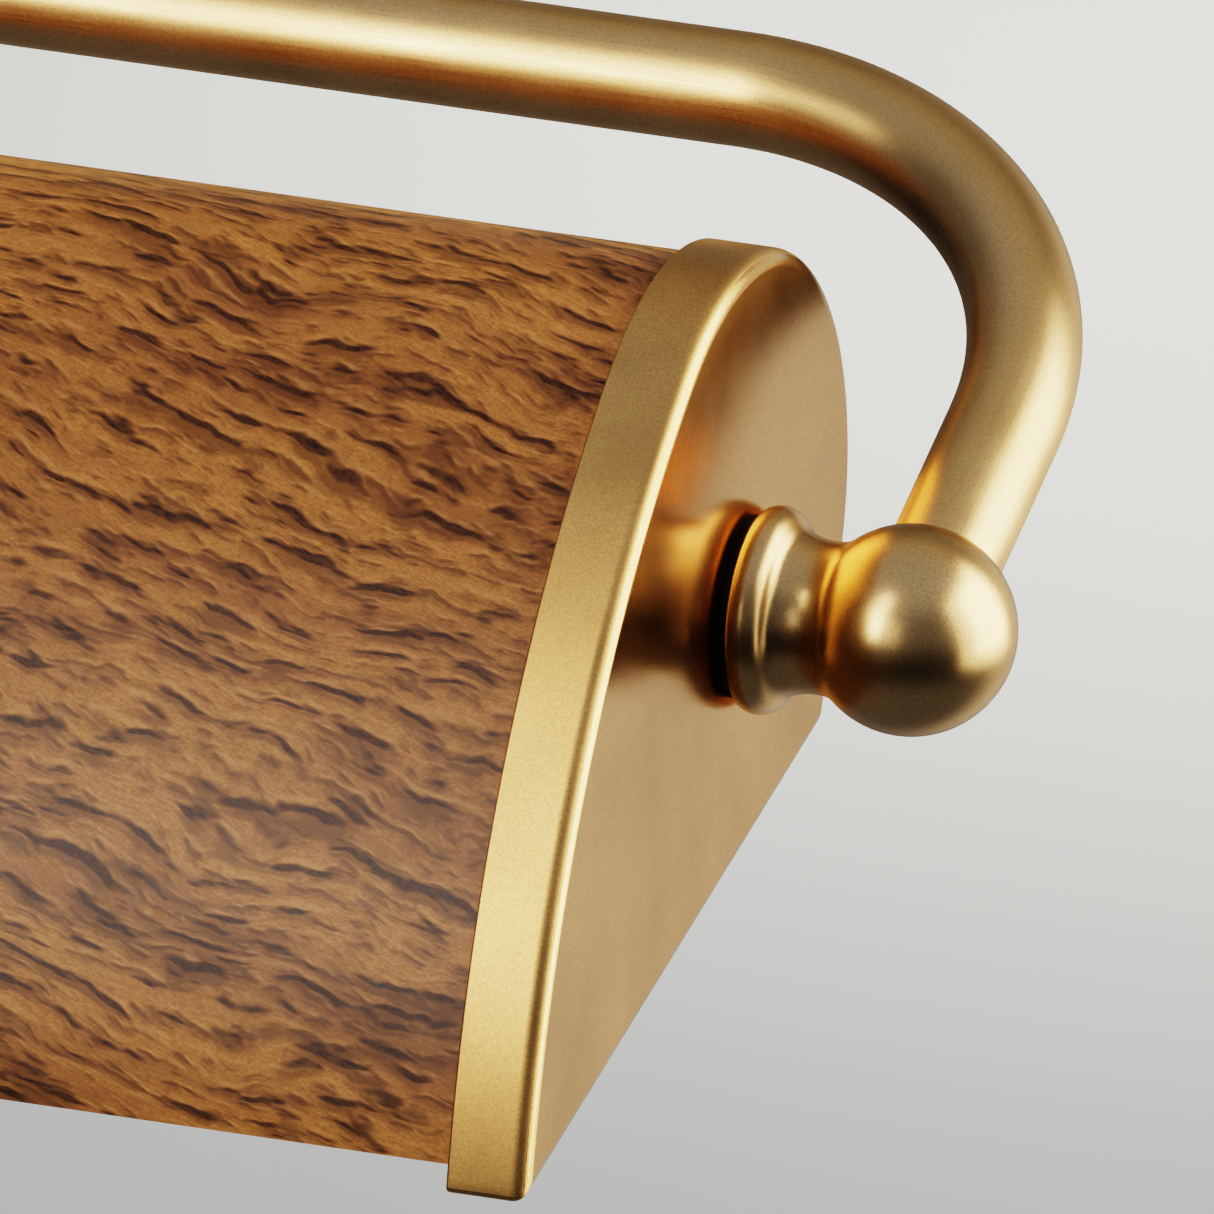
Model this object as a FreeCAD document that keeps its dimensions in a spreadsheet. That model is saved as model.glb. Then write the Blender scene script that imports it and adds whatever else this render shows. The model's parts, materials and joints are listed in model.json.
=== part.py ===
"""Wall-mounted picture light: a D-section shade that tilts in a bent tube yoke on a swivel arm.

Row frame: +Z up, the wall is the plane Y = 0, and the light stands out from it towards -Y.
The origin is the centre of the mounting bracket's back face, between its two wall screws.
Three working frames are used, each with X along the shade:
  wall   the row frame itself
  arm    origin on the shade's pivot axis, +Y up the slope of the arm towards the wall
  shade  origin on the shade's pivot axis, level with the row frame
"""
import FreeCAD, Part
import math
import os

import Sketcher
from FreeCAD import Placement, Rotation, Vector

# Driving dimensions in millimetres and degrees: alias, value, meaning.
DIMENSIONS = [
    # shade section, measured from the pivot axis (Y towards the wall, Z up)
    ("rear_centre_y", -0.5, "centre of the tight rear arc, along Y"),
    ("rear_centre_z", 4.9, "centre of the tight rear arc, along Z"),
    ("rear_radius", 26.5, "outside radius of the end cap over the top and back"),
    ("front_radius", 94, "outside radius of the end cap down the front"),
    ("shoulder_angle", 123, "where the front arc meets the rear arc, seen from the rear centre"),
    ("flat_angle", -21, "where the rear arc runs out into the rear flat"),
    ("chord_tilt", 11.2, "tilt of the shade's mouth, rear edge up"),
    ("chord_distance", 21.6, "distance of the mouth from the pivot axis"),
    # end caps and shade sheet
    ("cap_half_span", 156, "half the length over the two end caps"),
    ("skirt_width", 7.3, "width of the end cap's rim along the shade"),
    ("skirt_thickness", 1.3, "thickness of the end cap's rim"),
    ("face_thickness", 1.5, "thickness of the end cap's face"),
    ("cap_edge_radius", 1.5, "rounding of the end cap's outer edge"),
    ("lip_corner_radius", 0.5, "rounding of the end cap's front tip"),
    ("rear_corner_radius", 1.6, "rounding of the end cap's lower rear corner"),
    ("sheet_thickness", 0.8, "thickness of the shade's steel sheet"),
    ("sheet_gap", 0.05, "fitting gap between the sheet and the caps"),
    ("sheet_setback", 1.7, "how far the sheet's edges stop short of the caps' chord"),
    # shade pivots
    ("stud_radius", 4, "pivot stud, M8"),
    ("stud_bore_radius", 2.3, "wire way through the right-hand pivot stud"),
    ("running_gap", 0.05, "radial clearance of a running fit"),
    ("washer_thickness", 0.7, "friction washer between cap and knuckle"),
    ("washer_radius", 7.9, "outside radius of the friction washer"),
    ("stud_inner", 145, "inner end of the pivot stud"),
    ("stud_seat", 5.7, "ball centre to the outer end of the pivot stud"),
    ("spring_washer_radius", 7.2, "outside radius of the spring washer"),
    ("spring_washer_height", 1, "spring washer, clamped flat"),
    ("pivot_nut_corners", 7.5, "pivot nut, centre to corner"),
    ("pivot_nut_height", 5, "pivot nut"),
    ("pivot_play", 0.15, "end play between tie strap and spring washer"),
    # knuckle: collar bead, cove neck and ball, distances along X from the cap face
    ("bead_start", 0.75, "inner face of the collar"),
    ("bead_face_radius", 8.6, "radius of the collar at its inner face"),
    ("bead_inner_curve", 1.6, "curve from the collar's face up to the crest"),
    ("bead_crest", 1.9, "where the bead is widest"),
    ("bead_radius", 9.1, "radius of the bead at its crest"),
    ("bead_outer_curve", 2.3, "curve from the crest down to the crease"),
    ("crease", 4.0, "crease between bead and neck"),
    ("crease_radius", 7.4, "radius at the crease"),
    ("neck_end", 8.6, "where the neck meets the ball"),
    ("neck_sweep", 6.2, "radius of the neck's hollow curve"),
    ("ball_offset", 14.7, "ball centre"),
    ("ball_radius", 9.15, "radius of the ball"),
    # yoke and stem
    ("tube_radius", 5, "outside radius of yoke and stem tube"),
    ("tube_wall", 1, "wall of yoke and stem tube"),
    ("socket_gap", 0.03, "radial gap of a brazed or pressed socket"),
    ("leg_start", 3, "distance of the yoke's ends from the pivot axis"),
    ("bend_radius", 36, "centreline radius of the yoke's two bends"),
    ("bar_distance", 61.1, "distance of the yoke's bar from the pivot axis"),
    ("tee_radius", 10.5, "radius of the ball tee on the bar"),
    ("tee_collar", 6.6, "radius of the tee's collar round the stem"),
    ("tee_collar_length", 4, "length of the tee's collar"),
    ("stem_start", 7, "bar's centreline to the end of the stem tube"),
    ("arm_length", 118.5, "pivot axis to wall swivel"),
    ("arm_slope", 22, "slope of the arm below the horizontal"),
    ("wire_entry_radius", 2.2, "hole from the stem into the bar"),
    # wall swivel
    ("swivel_reach", 40, "wall to swivel axis"),
    ("drum_radius", 11, "radius of each half drum of the swivel"),
    ("drum_width", 8, "outer face of a half drum from the middle"),
    ("drum_bore", 8, "radius of the wire chamber in a half drum"),
    ("chamber_depth", 5.5, "wire chamber from the middle"),
    ("post_radius", 3.6, "post round the swivel screw"),
    ("drum_gap", 0.1, "gap between each half drum and the middle plane"),
    ("boss_radius", 6.5, "radius of the swivel's two bosses"),
    ("boss_clearance", 11.7, "where a boss clears the other half's drum"),
    ("arm_boss_length", 8, "boss on the stem's side"),
    ("arm_socket_depth", 5, "depth of the stem's socket in its boss"),
    ("base_socket_depth", 4, "depth of the nipple's socket in the base boss"),
    ("flange_radius", 9, "flange of the swivel base on the wall plate"),
    ("flange_height", 1.6, "flange of the swivel base"),
    ("swivel_screw_radius", 2, "swivel screw, M4"),
    ("swivel_head_radius", 3.6, "head of the swivel screw"),
    ("swivel_head_height", 2.4, "head of the swivel screw"),
    ("thumb_nut_radius", 6.5, "knurled thumb nut"),
    ("thumb_nut_width", 5, "knurled thumb nut"),
    ("knurl_radius", 0.5, "one groove of the knurl"),
    # wall plate and mounting
    ("plate_radius", 50, "radius of the wall plate"),
    ("plate_wall", 1.2, "thickness of the wall plate"),
    ("plate_depth", 22, "wall to the middle of the wall plate"),
    ("shelf_depth", 14, "wall to the flat ring of the wall plate"),
    ("rim_radius", 6, "rounding of the wall plate's rim"),
    ("ogee_start", 26, "radius where the flat ring turns up"),
    ("ogee_middle", 22, "radius where the ogee's two curves meet"),
    ("ogee_end", 18, "radius where the ogee runs out into the middle"),
    ("ogee_curve", 4, "radius of the ogee's curves"),
    ("bracket_thickness", 1.5, "mounting bracket"),
    ("bracket_length", 84, "mounting bracket"),
    ("bracket_height", 24, "mounting bracket"),
    ("wall_screw_spacing", 44, "centre distance of the wall screws"),
    ("wall_screw_hole", 2.25, "radius of a wall screw hole"),
    ("cable_hole", 7, "radius of the supply cable's hole"),
    ("cover_stud_offset", 36, "cover studs from the middle"),
    ("cover_stud_radius", 2, "cover stud, M4"),
    ("cover_stud_reach", 3, "cover stud beyond the flat ring"),
    ("cover_nut_corners", 4.6, "cover nut, centre to corner"),
    ("cover_nut_height", 3.2, "cover nut below its dome"),
    ("cover_dome_radius", 3.6, "dome of the cover nut"),
    ("earth_screw_across", 14, "earth screw, to the right of the middle"),
    ("earth_screw_up", -7, "earth screw, above the middle"),
    ("earth_screw_reach", 6, "earth screw's head from the bracket"),
    ("earth_head_radius", 3.5, "head of the earth screw"),
    ("earth_head_height", 2.2, "head of the earth screw"),
    ("block_width", 25, "terminal block"),
    ("block_depth", 10, "terminal block"),
    ("block_height", 15, "terminal block"),
    ("block_bottom", 13, "terminal block above the middle"),
    ("pole_spacing", 8, "between the poles of the terminal block"),
    ("pole_bore", 1.7, "radius of a pole's wire way"),
    ("pole_depth", 5, "wire way's centre from the bracket"),
    ("clamp_way_radius", 1.9, "hole over a clamp screw"),
    ("clamp_way_depth", 3.5, "hole over a clamp screw"),
    ("clamp_radius", 1.6, "clamp screw"),
    ("clamp_length", 2, "clamp screw"),
    ("clamp_sunk", 1.2, "clamp screw below the block's face"),
    # lamps and leads
    ("holder_face", 124, "back of a lampholder, from the middle"),
    ("holder_mouth", 80, "mouth of a lampholder, from the middle"),
    ("holder_radius", 13.5, "radius of a lampholder"),
    ("lamp_radius", 12.5, "radius of the tubular lamp"),
    ("lamp_tip", 18, "tip of a lamp, from the middle"),
    ("glass_wall", 0.8, "wall of the lamp's glass"),
    ("glass_neck", 6, "inside radius of the glass where it enters the cap"),
    ("cap_crest", 6.9, "radius of the lamp cap's thread, crest"),
    ("cap_root", 6.3, "radius of the lamp cap's thread, root"),
    ("contact_radius", 3.5, "insulator at the end of the lamp cap"),
    ("holder_bore", 7.5, "bore of the lampholder that takes the lamp cap"),
    ("nipple_radius", 5, "threaded nipple, M10"),
    ("nipple_bore", 3.9, "wire way through a nipple"),
    ("nipple_nut_corners", 8, "nut on a nipple, centre to corner"),
    ("nipple_nut_height", 3, "nut on a nipple"),
    ("plate_washer_radius", 8.5, "washer behind the wall plate"),
    ("strap_height", 28, "top of the tie strap above the pivot axis"),
    ("strap_thickness", 1.2, "thickness of strap and lampholder plates"),
    ("strap_width", 14, "width of the tie strap"),
    ("strap_foot", 9, "end of the tie strap below the pivot axis"),
    ("holder_drop", 10, "end of a lampholder plate below the pivot axis"),
    ("holder_foot", 16, "length of a lampholder plate along the strap"),
    ("lead_radius", 1.3, "radius of the two-core lead"),
    ("lead_offset", 2.2, "lead's distance from the stem's centreline"),
    ("lead_bend", 5, "bend of a lead, centreline"),
    ("tight_bend", 3.4, "bend of the lead from the stem into the bar"),
    ("link_height", 20, "height of the link lead over the lamps"),
    ("link_low", 2.4, "ends of the link lead above the pivot axis"),
    ("supply_low", -0.3, "supply lead above the pivot axis"),
    ("rivet_radius", 1.5, "rivets between strap and lampholder plates"),
    ("rivet_head_radius", 2.5, "head of a rivet"),
    ("rivet_head_height", 0.8, "head of a rivet"),
]

ALONG_X = Rotation(Vector(0, 1, 0), 90)
ALONG_Y = Rotation(Vector(1, 0, 0), -90)
PLANE_SIGN = {"XY_Plane": 1, "YZ_Plane": 1, "XZ_Plane": -1}
PIVOT_Y = "-dims.swivel_reach - dims.arm_length * cos(dims.arm_slope)"
PIVOT_Z = "-dims.arm_length * sin(dims.arm_slope)"
SIDES = (("left", -1), ("right", 1))
RIVET_REACHES = (6, 12)
THREAD_RIDGES = 5
THREAD_PITCH = 2.8
KNURL_COUNT = 24

doc = FreeCAD.newDocument("picture_light")
sheet = doc.addObject("Spreadsheet::Sheet", "dims")
subparts = []


# ---------------------------------------------------------------- spreadsheet and frames

def fill_sheet():
    for row, (alias, value, meaning) in enumerate(DIMENSIONS, start=1):
        sheet.set(f"A{row}", alias)
        sheet.set(f"B{row}", str(value))
        sheet.set(f"C{row}", meaning)
        sheet.setAlias(f"B{row}", alias)
    doc.recompute()


def size(expression):
    """Present value of an expression, used to start a sketch in its solved shape."""
    value = sheet.evalExpression(str(expression))
    return value.Value if hasattr(value, "Value") else float(value)


def place(piece, name, frame):
    """Name a finished sub-part and put it in its working frame."""
    piece.Label = name
    slope = size("dims.arm_slope") if frame == "arm" else 0
    piece.Placement = Placement(Vector(), Rotation(Vector(1, 0, 0), slope))
    if frame != "wall":
        piece.setExpression(".Placement.Base.y", PIVOT_Y)
        piece.setExpression(".Placement.Base.z", PIVOT_Z)
    if frame == "arm":
        piece.setExpression(".Placement.Rotation.Angle", "dims.arm_slope")
    subparts.append(piece)
    return piece


# ---------------------------------------------------------------- sketches

def add_body(name, frame):
    return place(doc.addObject("PartDesign::Body", name), name, frame)


def add_sketch(body, role, level="0"):
    """Sketch on one of the body's origin planes, moved to a level along that plane's axis."""
    sketch = body.newObject("Sketcher::SketchObject", "outline")
    plane = next(item for item in body.Origin.OriginFeatures if item.Role == role)
    sketch.AttachmentSupport = [(plane, "")]
    sketch.MapMode = "FlatFace"
    sketch.setExpression(".AttachmentOffset.Base.z", f"{PLANE_SIGN[role]} * ({level})")
    return sketch


def bind(sketch, constraint, expression):
    index = sketch.addConstraint(constraint)
    sketch.renameConstraint(index, f"size{index}")
    sketch.setExpression(f"Constraints.size{index}", str(expression))


def pin_point(sketch, geometry, point, across, up):
    bind(sketch, Sketcher.Constraint("DistanceX", -1, 1, geometry, point, size(across)), across)
    bind(sketch, Sketcher.Constraint("DistanceY", -1, 1, geometry, point, size(up)), up)


def add_circle(sketch, across, up, radius):
    circle = Part.Circle(Vector(size(across), size(up), 0), Vector(0, 0, 1), size(radius))
    index = sketch.addGeometry(circle, False)
    pin_point(sketch, index, 3, across, up)
    bind(sketch, Sketcher.Constraint("Radius", index, size(radius)), radius)


def arc_between(start, end, radius, turn):
    """Short arc from start to end; turn is +1 anticlockwise and -1 clockwise."""
    half = (end - start) * 0.5
    rise = math.sqrt(max(radius ** 2 - half.Length ** 2, 0))
    side = Vector(-half.y, half.x, 0).normalize() * (rise * turn)
    centre = start + half + side
    first, last = (start, end) if turn > 0 else (end, start)
    angles = [math.atan2(point.y - centre.y, point.x - centre.x) for point in (first, last)]
    return Part.ArcOfCircle(Part.Circle(centre, Vector(0, 0, 1), radius), *angles)


def add_outline(sketch, steps, closed=True):
    """Chain of lines and arcs. A step is (across, up) or (across, up, radius, turn) for an arc
    that arrives at that point. Every point and radius is bound to the sheet."""
    points = [Vector(size(step[0]), size(step[1]), 0) for step in steps]
    ends = []
    for number, step in enumerate(steps):
        if number == 0 and not closed:
            continue
        start, end = points[number - 1], points[number]
        if len(step) == 2:
            index = sketch.addGeometry(Part.LineSegment(start, end), False)
            ends.append((index, 1, 2))
            continue
        index = sketch.addGeometry(arc_between(start, end, size(step[2]), step[3]), False)
        bind(sketch, Sketcher.Constraint("Radius", index, size(step[2])), step[2])
        ends.append((index, 1, 2) if step[3] > 0 else (index, 2, 1))
    for (before, _, tail), (after, head, _) in zip(ends, ends[1:]):
        sketch.addConstraint(Sketcher.Constraint("Coincident", before, tail, after, head))
    if closed:
        sketch.addConstraint(Sketcher.Constraint("Coincident", ends[-1][0], ends[-1][2], *ends[0][:2]))
        steps = steps[-1:] + steps[:-1]
    for (index, head, _), step in zip(ends, steps):
        pin_point(sketch, index, head, step[0], step[1])
    if not closed:
        pin_point(sketch, ends[-1][0], ends[-1][2], steps[-1][0], steps[-1][1])


def add_shade_outline(sketch, inset, chord_inset):
    """The shade's closed D section: rear arc, front arc, chord and rear flat, each set in from
    the end cap's outside by inset, and the chord by chord_inset."""
    rear = Vector(size("dims.rear_centre_y"), size("dims.rear_centre_z"), 0)
    rear_radius = f"dims.rear_radius - ({inset})"
    front_radius = f"dims.front_radius - ({inset})"
    front_y = "dims.rear_centre_y + (dims.rear_radius - dims.front_radius) * cos(dims.shoulder_angle)"
    front_z = "dims.rear_centre_z + (dims.rear_radius - dims.front_radius) * sin(dims.shoulder_angle)"
    front = Vector(size(front_y), size(front_z), 0)
    shoulder, flat, tilt = [math.radians(size(f"dims.{name}"))
                            for name in ("shoulder_angle", "flat_angle", "chord_tilt")]
    depth = f"dims.chord_distance - ({chord_inset})"

    # chord: points p with normal . p = -depth, found where it meets the rear flat and front arc
    normal = Vector(-math.sin(tilt), math.cos(tilt), 0)
    along = Vector(math.cos(tilt), math.sin(tilt), 0)
    top_of_flat = rear + Vector(math.cos(flat), math.sin(flat), 0) * size(rear_radius)
    down_flat = Vector(math.sin(flat), -math.cos(flat), 0)
    corner = top_of_flat + down_flat * ((-size(depth) - normal.dot(top_of_flat)) / normal.dot(down_flat))
    offset = -size(depth) - normal.dot(front)
    tip = front + normal * offset - along * math.sqrt(size(front_radius) ** 2 - offset ** 2)
    tip_angle = math.atan2(tip.y - front.y, tip.x - front.x)

    sketch.addGeometry([
        Part.ArcOfCircle(Part.Circle(rear, Vector(0, 0, 1), size(rear_radius)), flat, shoulder),
        Part.ArcOfCircle(Part.Circle(front, Vector(0, 0, 1), size(front_radius)), shoulder, tip_angle),
        Part.LineSegment(tip, corner),
        Part.LineSegment(corner, top_of_flat)], False)
    sketch.addConstraint([
        Sketcher.Constraint("Tangent", 0, 2, 1, 1),
        Sketcher.Constraint("Coincident", 1, 2, 2, 1),
        Sketcher.Constraint("Coincident", 2, 2, 3, 1),
        Sketcher.Constraint("Tangent", 3, 2, 0, 1)])
    pin_point(sketch, 0, 3, "dims.rear_centre_y", "dims.rear_centre_z")
    bind(sketch, Sketcher.Constraint("DistanceX", -1, 1, 1, 3, front.x), front_y)
    bind(sketch, Sketcher.Constraint("Radius", 0, size(rear_radius)), rear_radius)
    bind(sketch, Sketcher.Constraint("Radius", 1, size(front_radius)), front_radius)
    bind(sketch, Sketcher.Constraint("Angle", 2, tilt), "dims.chord_tilt * 1 deg")
    bind(sketch, Sketcher.Constraint("Angle", 3, math.pi / 2 + flat), "(90 + dims.flat_angle) * 1 deg")
    bind(sketch, Sketcher.Constraint("Distance", -1, 1, 2, size(depth)), depth)
    return corner, tip


# ---------------------------------------------------------------- features

def add_pad(body, sketch, length):
    pad = body.newObject("PartDesign::Pad", "pad")
    pad.Profile = sketch
    pad.setExpression("Length", str(length))
    sketch.Visibility = False
    doc.recompute()
    return pad


def add_pocket(body, sketch, length):
    """Cut from the sketch towards the positive direction of its plane's axis."""
    before = body.Shape.Volume
    pocket = body.newObject("PartDesign::Pocket", "pocket")
    pocket.Profile = sketch
    pocket.Reversed = sketch.AttachmentSupport[0][0].Role != "XZ_Plane"
    pocket.setExpression("Length", str(length))
    doc.recompute()
    if pocket.Shape.Volume >= before - 1e-3:
        raise RuntimeError(f"{body.Label}: a pocket removed nothing")
    return pocket


def add_fillet(body, radius, chosen):
    """Round the edges of the body's last feature that pass the test chosen(edge)."""
    base = body.Tip
    names = [f"Edge{number}" for number, edge in enumerate(base.Shape.Edges, start=1) if chosen(edge)]
    if not names:
        raise RuntimeError(f"{body.Label}: no edge to round")
    fillet = body.newObject("PartDesign::Fillet", "fillet")
    fillet.Base = (base, names)
    fillet.setExpression("Radius", str(radius))
    doc.recompute()
    return fillet


def turned(name, frame, axis, steps):
    """Lathe-turned piece: an outline in the frame's XY plane spun about its X or Y axis."""
    body = add_body(name, frame)
    sketch = add_sketch(body, "XY_Plane")
    add_outline(sketch, steps)
    doc.recompute()
    spin = body.newObject("PartDesign::Revolution", "spin")
    spin.Profile = sketch
    spin.ReferenceAxis = (sketch, ["H_Axis" if axis == "X" else "V_Axis"])
    spin.Angle = 360
    doc.recompute()
    return body


def ring_steps(start, end, outer, inner, axis="X"):
    """Outline of a plain ring or sleeve, or of a plain rod where inner is 0."""
    corners = [(start, inner), (end, inner), (end, outer), (start, outer)]
    return corners if axis == "X" else [(across, along) for along, across in corners]


def mirrored(steps, side):
    """The same outline on the left- or right-hand end of the light."""
    if side > 0:
        return steps
    return [(f"-({step[0]})",) + step[1:3] + tuple(-turn for turn in step[3:]) for step in steps]


def swept(name, frame, path_role, path_level, path, end_role, radii):
    """Round bar or tube along a flat path of lines and arcs; radii is (outer,) or (outer, inner).
    The first run of the path is square to the end_role plane."""
    body = add_body(name, frame)
    route = add_sketch(body, path_role, path_level)
    add_outline(route, path, closed=False)
    first = dict(zip(path_role[:2], path[0]))
    first[next(axis for axis in "XYZ" if axis not in path_role[:2])] = path_level
    normal = next(axis for axis in "XYZ" if axis not in end_role[:2])
    section = add_sketch(body, end_role, first[normal])
    for radius in radii:
        add_circle(section, first[end_role[0]], first[end_role[1]], radius)
    doc.recompute()
    pipe = body.newObject("PartDesign::AdditivePipe", "pipe")
    pipe.Profile = section
    pipe.Spine = route
    doc.recompute()
    return body


def primitive(kind, sizes, position=("0", "0", "0"), rotation=Rotation()):
    """Part primitive with its sizes and position bound to the sheet."""
    solid = doc.addObject(f"Part::{kind}", kind.lower())
    solid.Placement = Placement(Vector(), rotation)
    for name, expression in sizes.items():
        solid.setExpression(name, str(expression))
    for axis, expression in zip("xyz", position):
        solid.setExpression(f".Placement.Base.{axis}", str(expression))
    return solid


def rod(radius, length, position, rotation=Rotation()):
    return primitive("Cylinder", {"Radius": radius, "Height": length}, position, rotation)


def box(length, width, height, position):
    return primitive("Box", {"Length": length, "Width": width, "Height": height}, position)


def union(*solids):
    fuse = doc.addObject("Part::MultiFuse", "union")
    fuse.Shapes = list(solids)
    return fuse


def difference(base, *tools):
    cut = doc.addObject("Part::Cut", "difference")
    cut.Base = base
    cut.Tool = tools[0] if len(tools) == 1 else union(*tools)
    return cut


def group(*solids):
    bundle = doc.addObject("Part::Compound", "group")
    bundle.Links = list(solids)
    return bundle


def hex_nut(across_corners, thickness, bore, position, rotation):
    """Hexagon nut with its outer corners turned back to a chamfer."""
    prism = primitive("Prism", {"Circumradius": across_corners, "Height": thickness}, position, rotation)
    prism.Polygon = 6
    round_blank = rod(f"{across_corners} * 0.97", thickness, position, rotation)
    common = doc.addObject("Part::Common", "chamfered")
    common.Base = prism
    common.Tool = round_blank
    return difference(common, rod(bore, thickness, position, rotation))


# ---------------------------------------------------------------- shade

def end_cap(name, side):
    """Pressed brass cap: a flat face with a rounded edge and a rim that laps over the sheet."""
    body = add_body(name, "shade")
    face = "dims.cap_half_span"
    start = f"{face} - dims.skirt_width" if side > 0 else f"-{face}"
    hollow = start if side > 0 else f"-{face} + dims.face_thickness"

    blank = add_sketch(body, "YZ_Plane", start)
    corner, tip = add_shade_outline(blank, "0", "0")
    add_pad(body, blank, "dims.skirt_width")

    def at(point):
        def chosen(edge):
            middle = edge.CenterOfMass
            return abs(edge.BoundBox.XLength) > 1 and math.hypot(middle.y - point.x, middle.z - point.y) < 0.1
        return chosen

    def on_face(edge):
        return edge.BoundBox.XLength < 1e-3 and abs(edge.CenterOfMass.x - side * size(face)) < 1e-3

    add_fillet(body, "dims.lip_corner_radius", at(tip))
    add_fillet(body, "dims.rear_corner_radius", at(corner))
    add_fillet(body, "dims.cap_edge_radius", on_face)

    inside = add_sketch(body, "YZ_Plane", hollow)
    add_shade_outline(inside, "dims.skirt_thickness", "dims.skirt_thickness")
    add_pocket(body, inside, "dims.skirt_width - dims.face_thickness")

    hole = add_sketch(body, "YZ_Plane", start)
    add_circle(hole, "0", "0", "dims.stud_radius + dims.running_gap")
    add_pocket(body, hole, "dims.skirt_width")


def shade_shell():
    """Rolled steel sheet between the caps, open along its mouth."""
    body = add_body("shade_shell", "shade")
    half = "dims.cap_half_span - dims.face_thickness - dims.sheet_gap"
    outer = "dims.skirt_thickness + dims.sheet_gap"
    blank = add_sketch(body, "YZ_Plane", f"-({half})")
    add_shade_outline(blank, outer, "dims.sheet_setback")
    add_pad(body, blank, f"2 * ({half})")
    inside = add_sketch(body, "YZ_Plane", f"-({half})")
    add_shade_outline(inside, f"{outer} + dims.sheet_thickness", "-6")
    add_pocket(body, inside, f"2 * ({half})")


def tie_strap():
    """Steel strap under the top of the shade; its turned-down ends hold both caps on."""
    body = add_body("tie_strap", "shade")
    end = "dims.cap_half_span - dims.face_thickness - dims.sheet_gap"
    inner_end = f"{end} - dims.strap_thickness"
    under = "dims.strap_height - dims.strap_thickness"
    foot = "-dims.strap_foot"
    profile = add_sketch(body, "XZ_Plane", "dims.strap_width / 2")
    add_outline(profile, [
        (f"-({end})", foot), (f"-({inner_end})", foot), (f"-({inner_end})", under),
        (inner_end, under), (inner_end, foot), (end, foot),
        (end, "dims.strap_height"), (f"-({end})", "dims.strap_height")])
    add_pad(body, profile, "dims.strap_width")

    def outer_bend(edge):
        middle = edge.CenterOfMass
        return edge.BoundBox.YLength > 1 and abs(middle.z - size("dims.strap_height")) < 1e-3

    add_fillet(body, "2 * dims.strap_thickness", outer_bend)
    hole = add_sketch(body, "YZ_Plane", f"-({end})")
    add_circle(hole, "0", "0", "dims.stud_radius + dims.running_gap")
    add_pocket(body, hole, f"2 * ({end})")
    rivet_holes = add_sketch(body, "XY_Plane", under)
    for _, side in SIDES:
        for reach in RIVET_REACHES:
            add_circle(rivet_holes, rivet_place(side, reach), "0", "dims.rivet_radius")
    add_pocket(body, rivet_holes, "dims.strap_thickness")


def holder_plate(name, side):
    """Angle plate under the strap that carries a lampholder."""
    body = add_body(name, "shade")
    under = "dims.strap_height - dims.strap_thickness"
    foot_end = "dims.holder_face + dims.holder_foot"
    drop = "-dims.holder_drop"
    profile = add_sketch(body, "XZ_Plane", "dims.strap_width / 2")
    add_outline(profile, mirrored([
        ("dims.holder_face", drop), ("dims.holder_face + dims.strap_thickness", drop),
        ("dims.holder_face + dims.strap_thickness", f"{under} - dims.strap_thickness"),
        (foot_end, f"{under} - dims.strap_thickness"), (foot_end, under),
        ("dims.holder_face", under)], side))
    add_pad(body, profile, "dims.strap_width")
    start = "dims.holder_face" if side > 0 else "-dims.holder_face - dims.strap_thickness"
    hole = add_sketch(body, "YZ_Plane", start)
    add_circle(hole, "0", "0", "dims.nipple_radius + dims.socket_gap")
    add_circle(hole, "0", "dims.link_height", "dims.lead_radius + 0.6")
    add_pocket(body, hole, "dims.strap_thickness")
    rivet_holes = add_sketch(body, "XY_Plane", f"{under} - dims.strap_thickness")
    for reach in RIVET_REACHES:
        add_circle(rivet_holes, rivet_place(side, reach), "0", "dims.rivet_radius")
    add_pocket(body, rivet_holes, "dims.strap_thickness")


def rivet_place(side, reach):
    return f"{side} * (dims.holder_face + {reach})"


def strap_rivets():
    """Four flat-headed rivets through the strap and the two lampholder plates."""
    rivets = []
    bottom = "dims.strap_height - 2 * dims.strap_thickness"
    head = ("dims.rivet_head_radius", "dims.rivet_head_height")
    for _, side in SIDES:
        for reach in RIVET_REACHES:
            across = rivet_place(side, reach)
            shank = rod("dims.rivet_radius", "2 * dims.strap_thickness", (across, "0", bottom))
            top_head = rod(*head, (across, "0", "dims.strap_height"))
            bottom_head = rod(*head, (across, "0", f"{bottom} - dims.rivet_head_height"))
            rivets.append(union(shank, top_head, bottom_head))
    place(group(*rivets), "strap_rivets", "shade")


def lampholder(name, side):
    """Moulded E14 lampholder: threaded back, body and open skirt."""
    face, mouth, radius = "dims.holder_face", "dims.holder_mouth", "dims.holder_radius"
    steps = [
        (face, "dims.nipple_radius + dims.socket_gap"), (face, f"{radius} - 3.5"),
        (f"{face} - 3", f"{radius} - 0.5", "3.1", 1), (f"{face} - 20", f"{radius} - 0.5"),
        (f"{face} - 20", f"{radius} - 1.5"), (f"{face} - 22", f"{radius} - 1.5"),
        (f"{face} - 22", radius), (f"{mouth} + 1.5", radius), (mouth, f"{radius} - 1.5", "1.5", 1),
        (mouth, "dims.holder_bore"), (f"{face} - 14", "dims.holder_bore"), (f"{face} - 14", f"{radius} - 3"),
        (f"{face} - 2.5", f"{radius} - 3"), (f"{face} - 2.5", "dims.nipple_radius + dims.socket_gap")]
    turned(name, "shade", "X", mirrored(steps, side))


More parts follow.
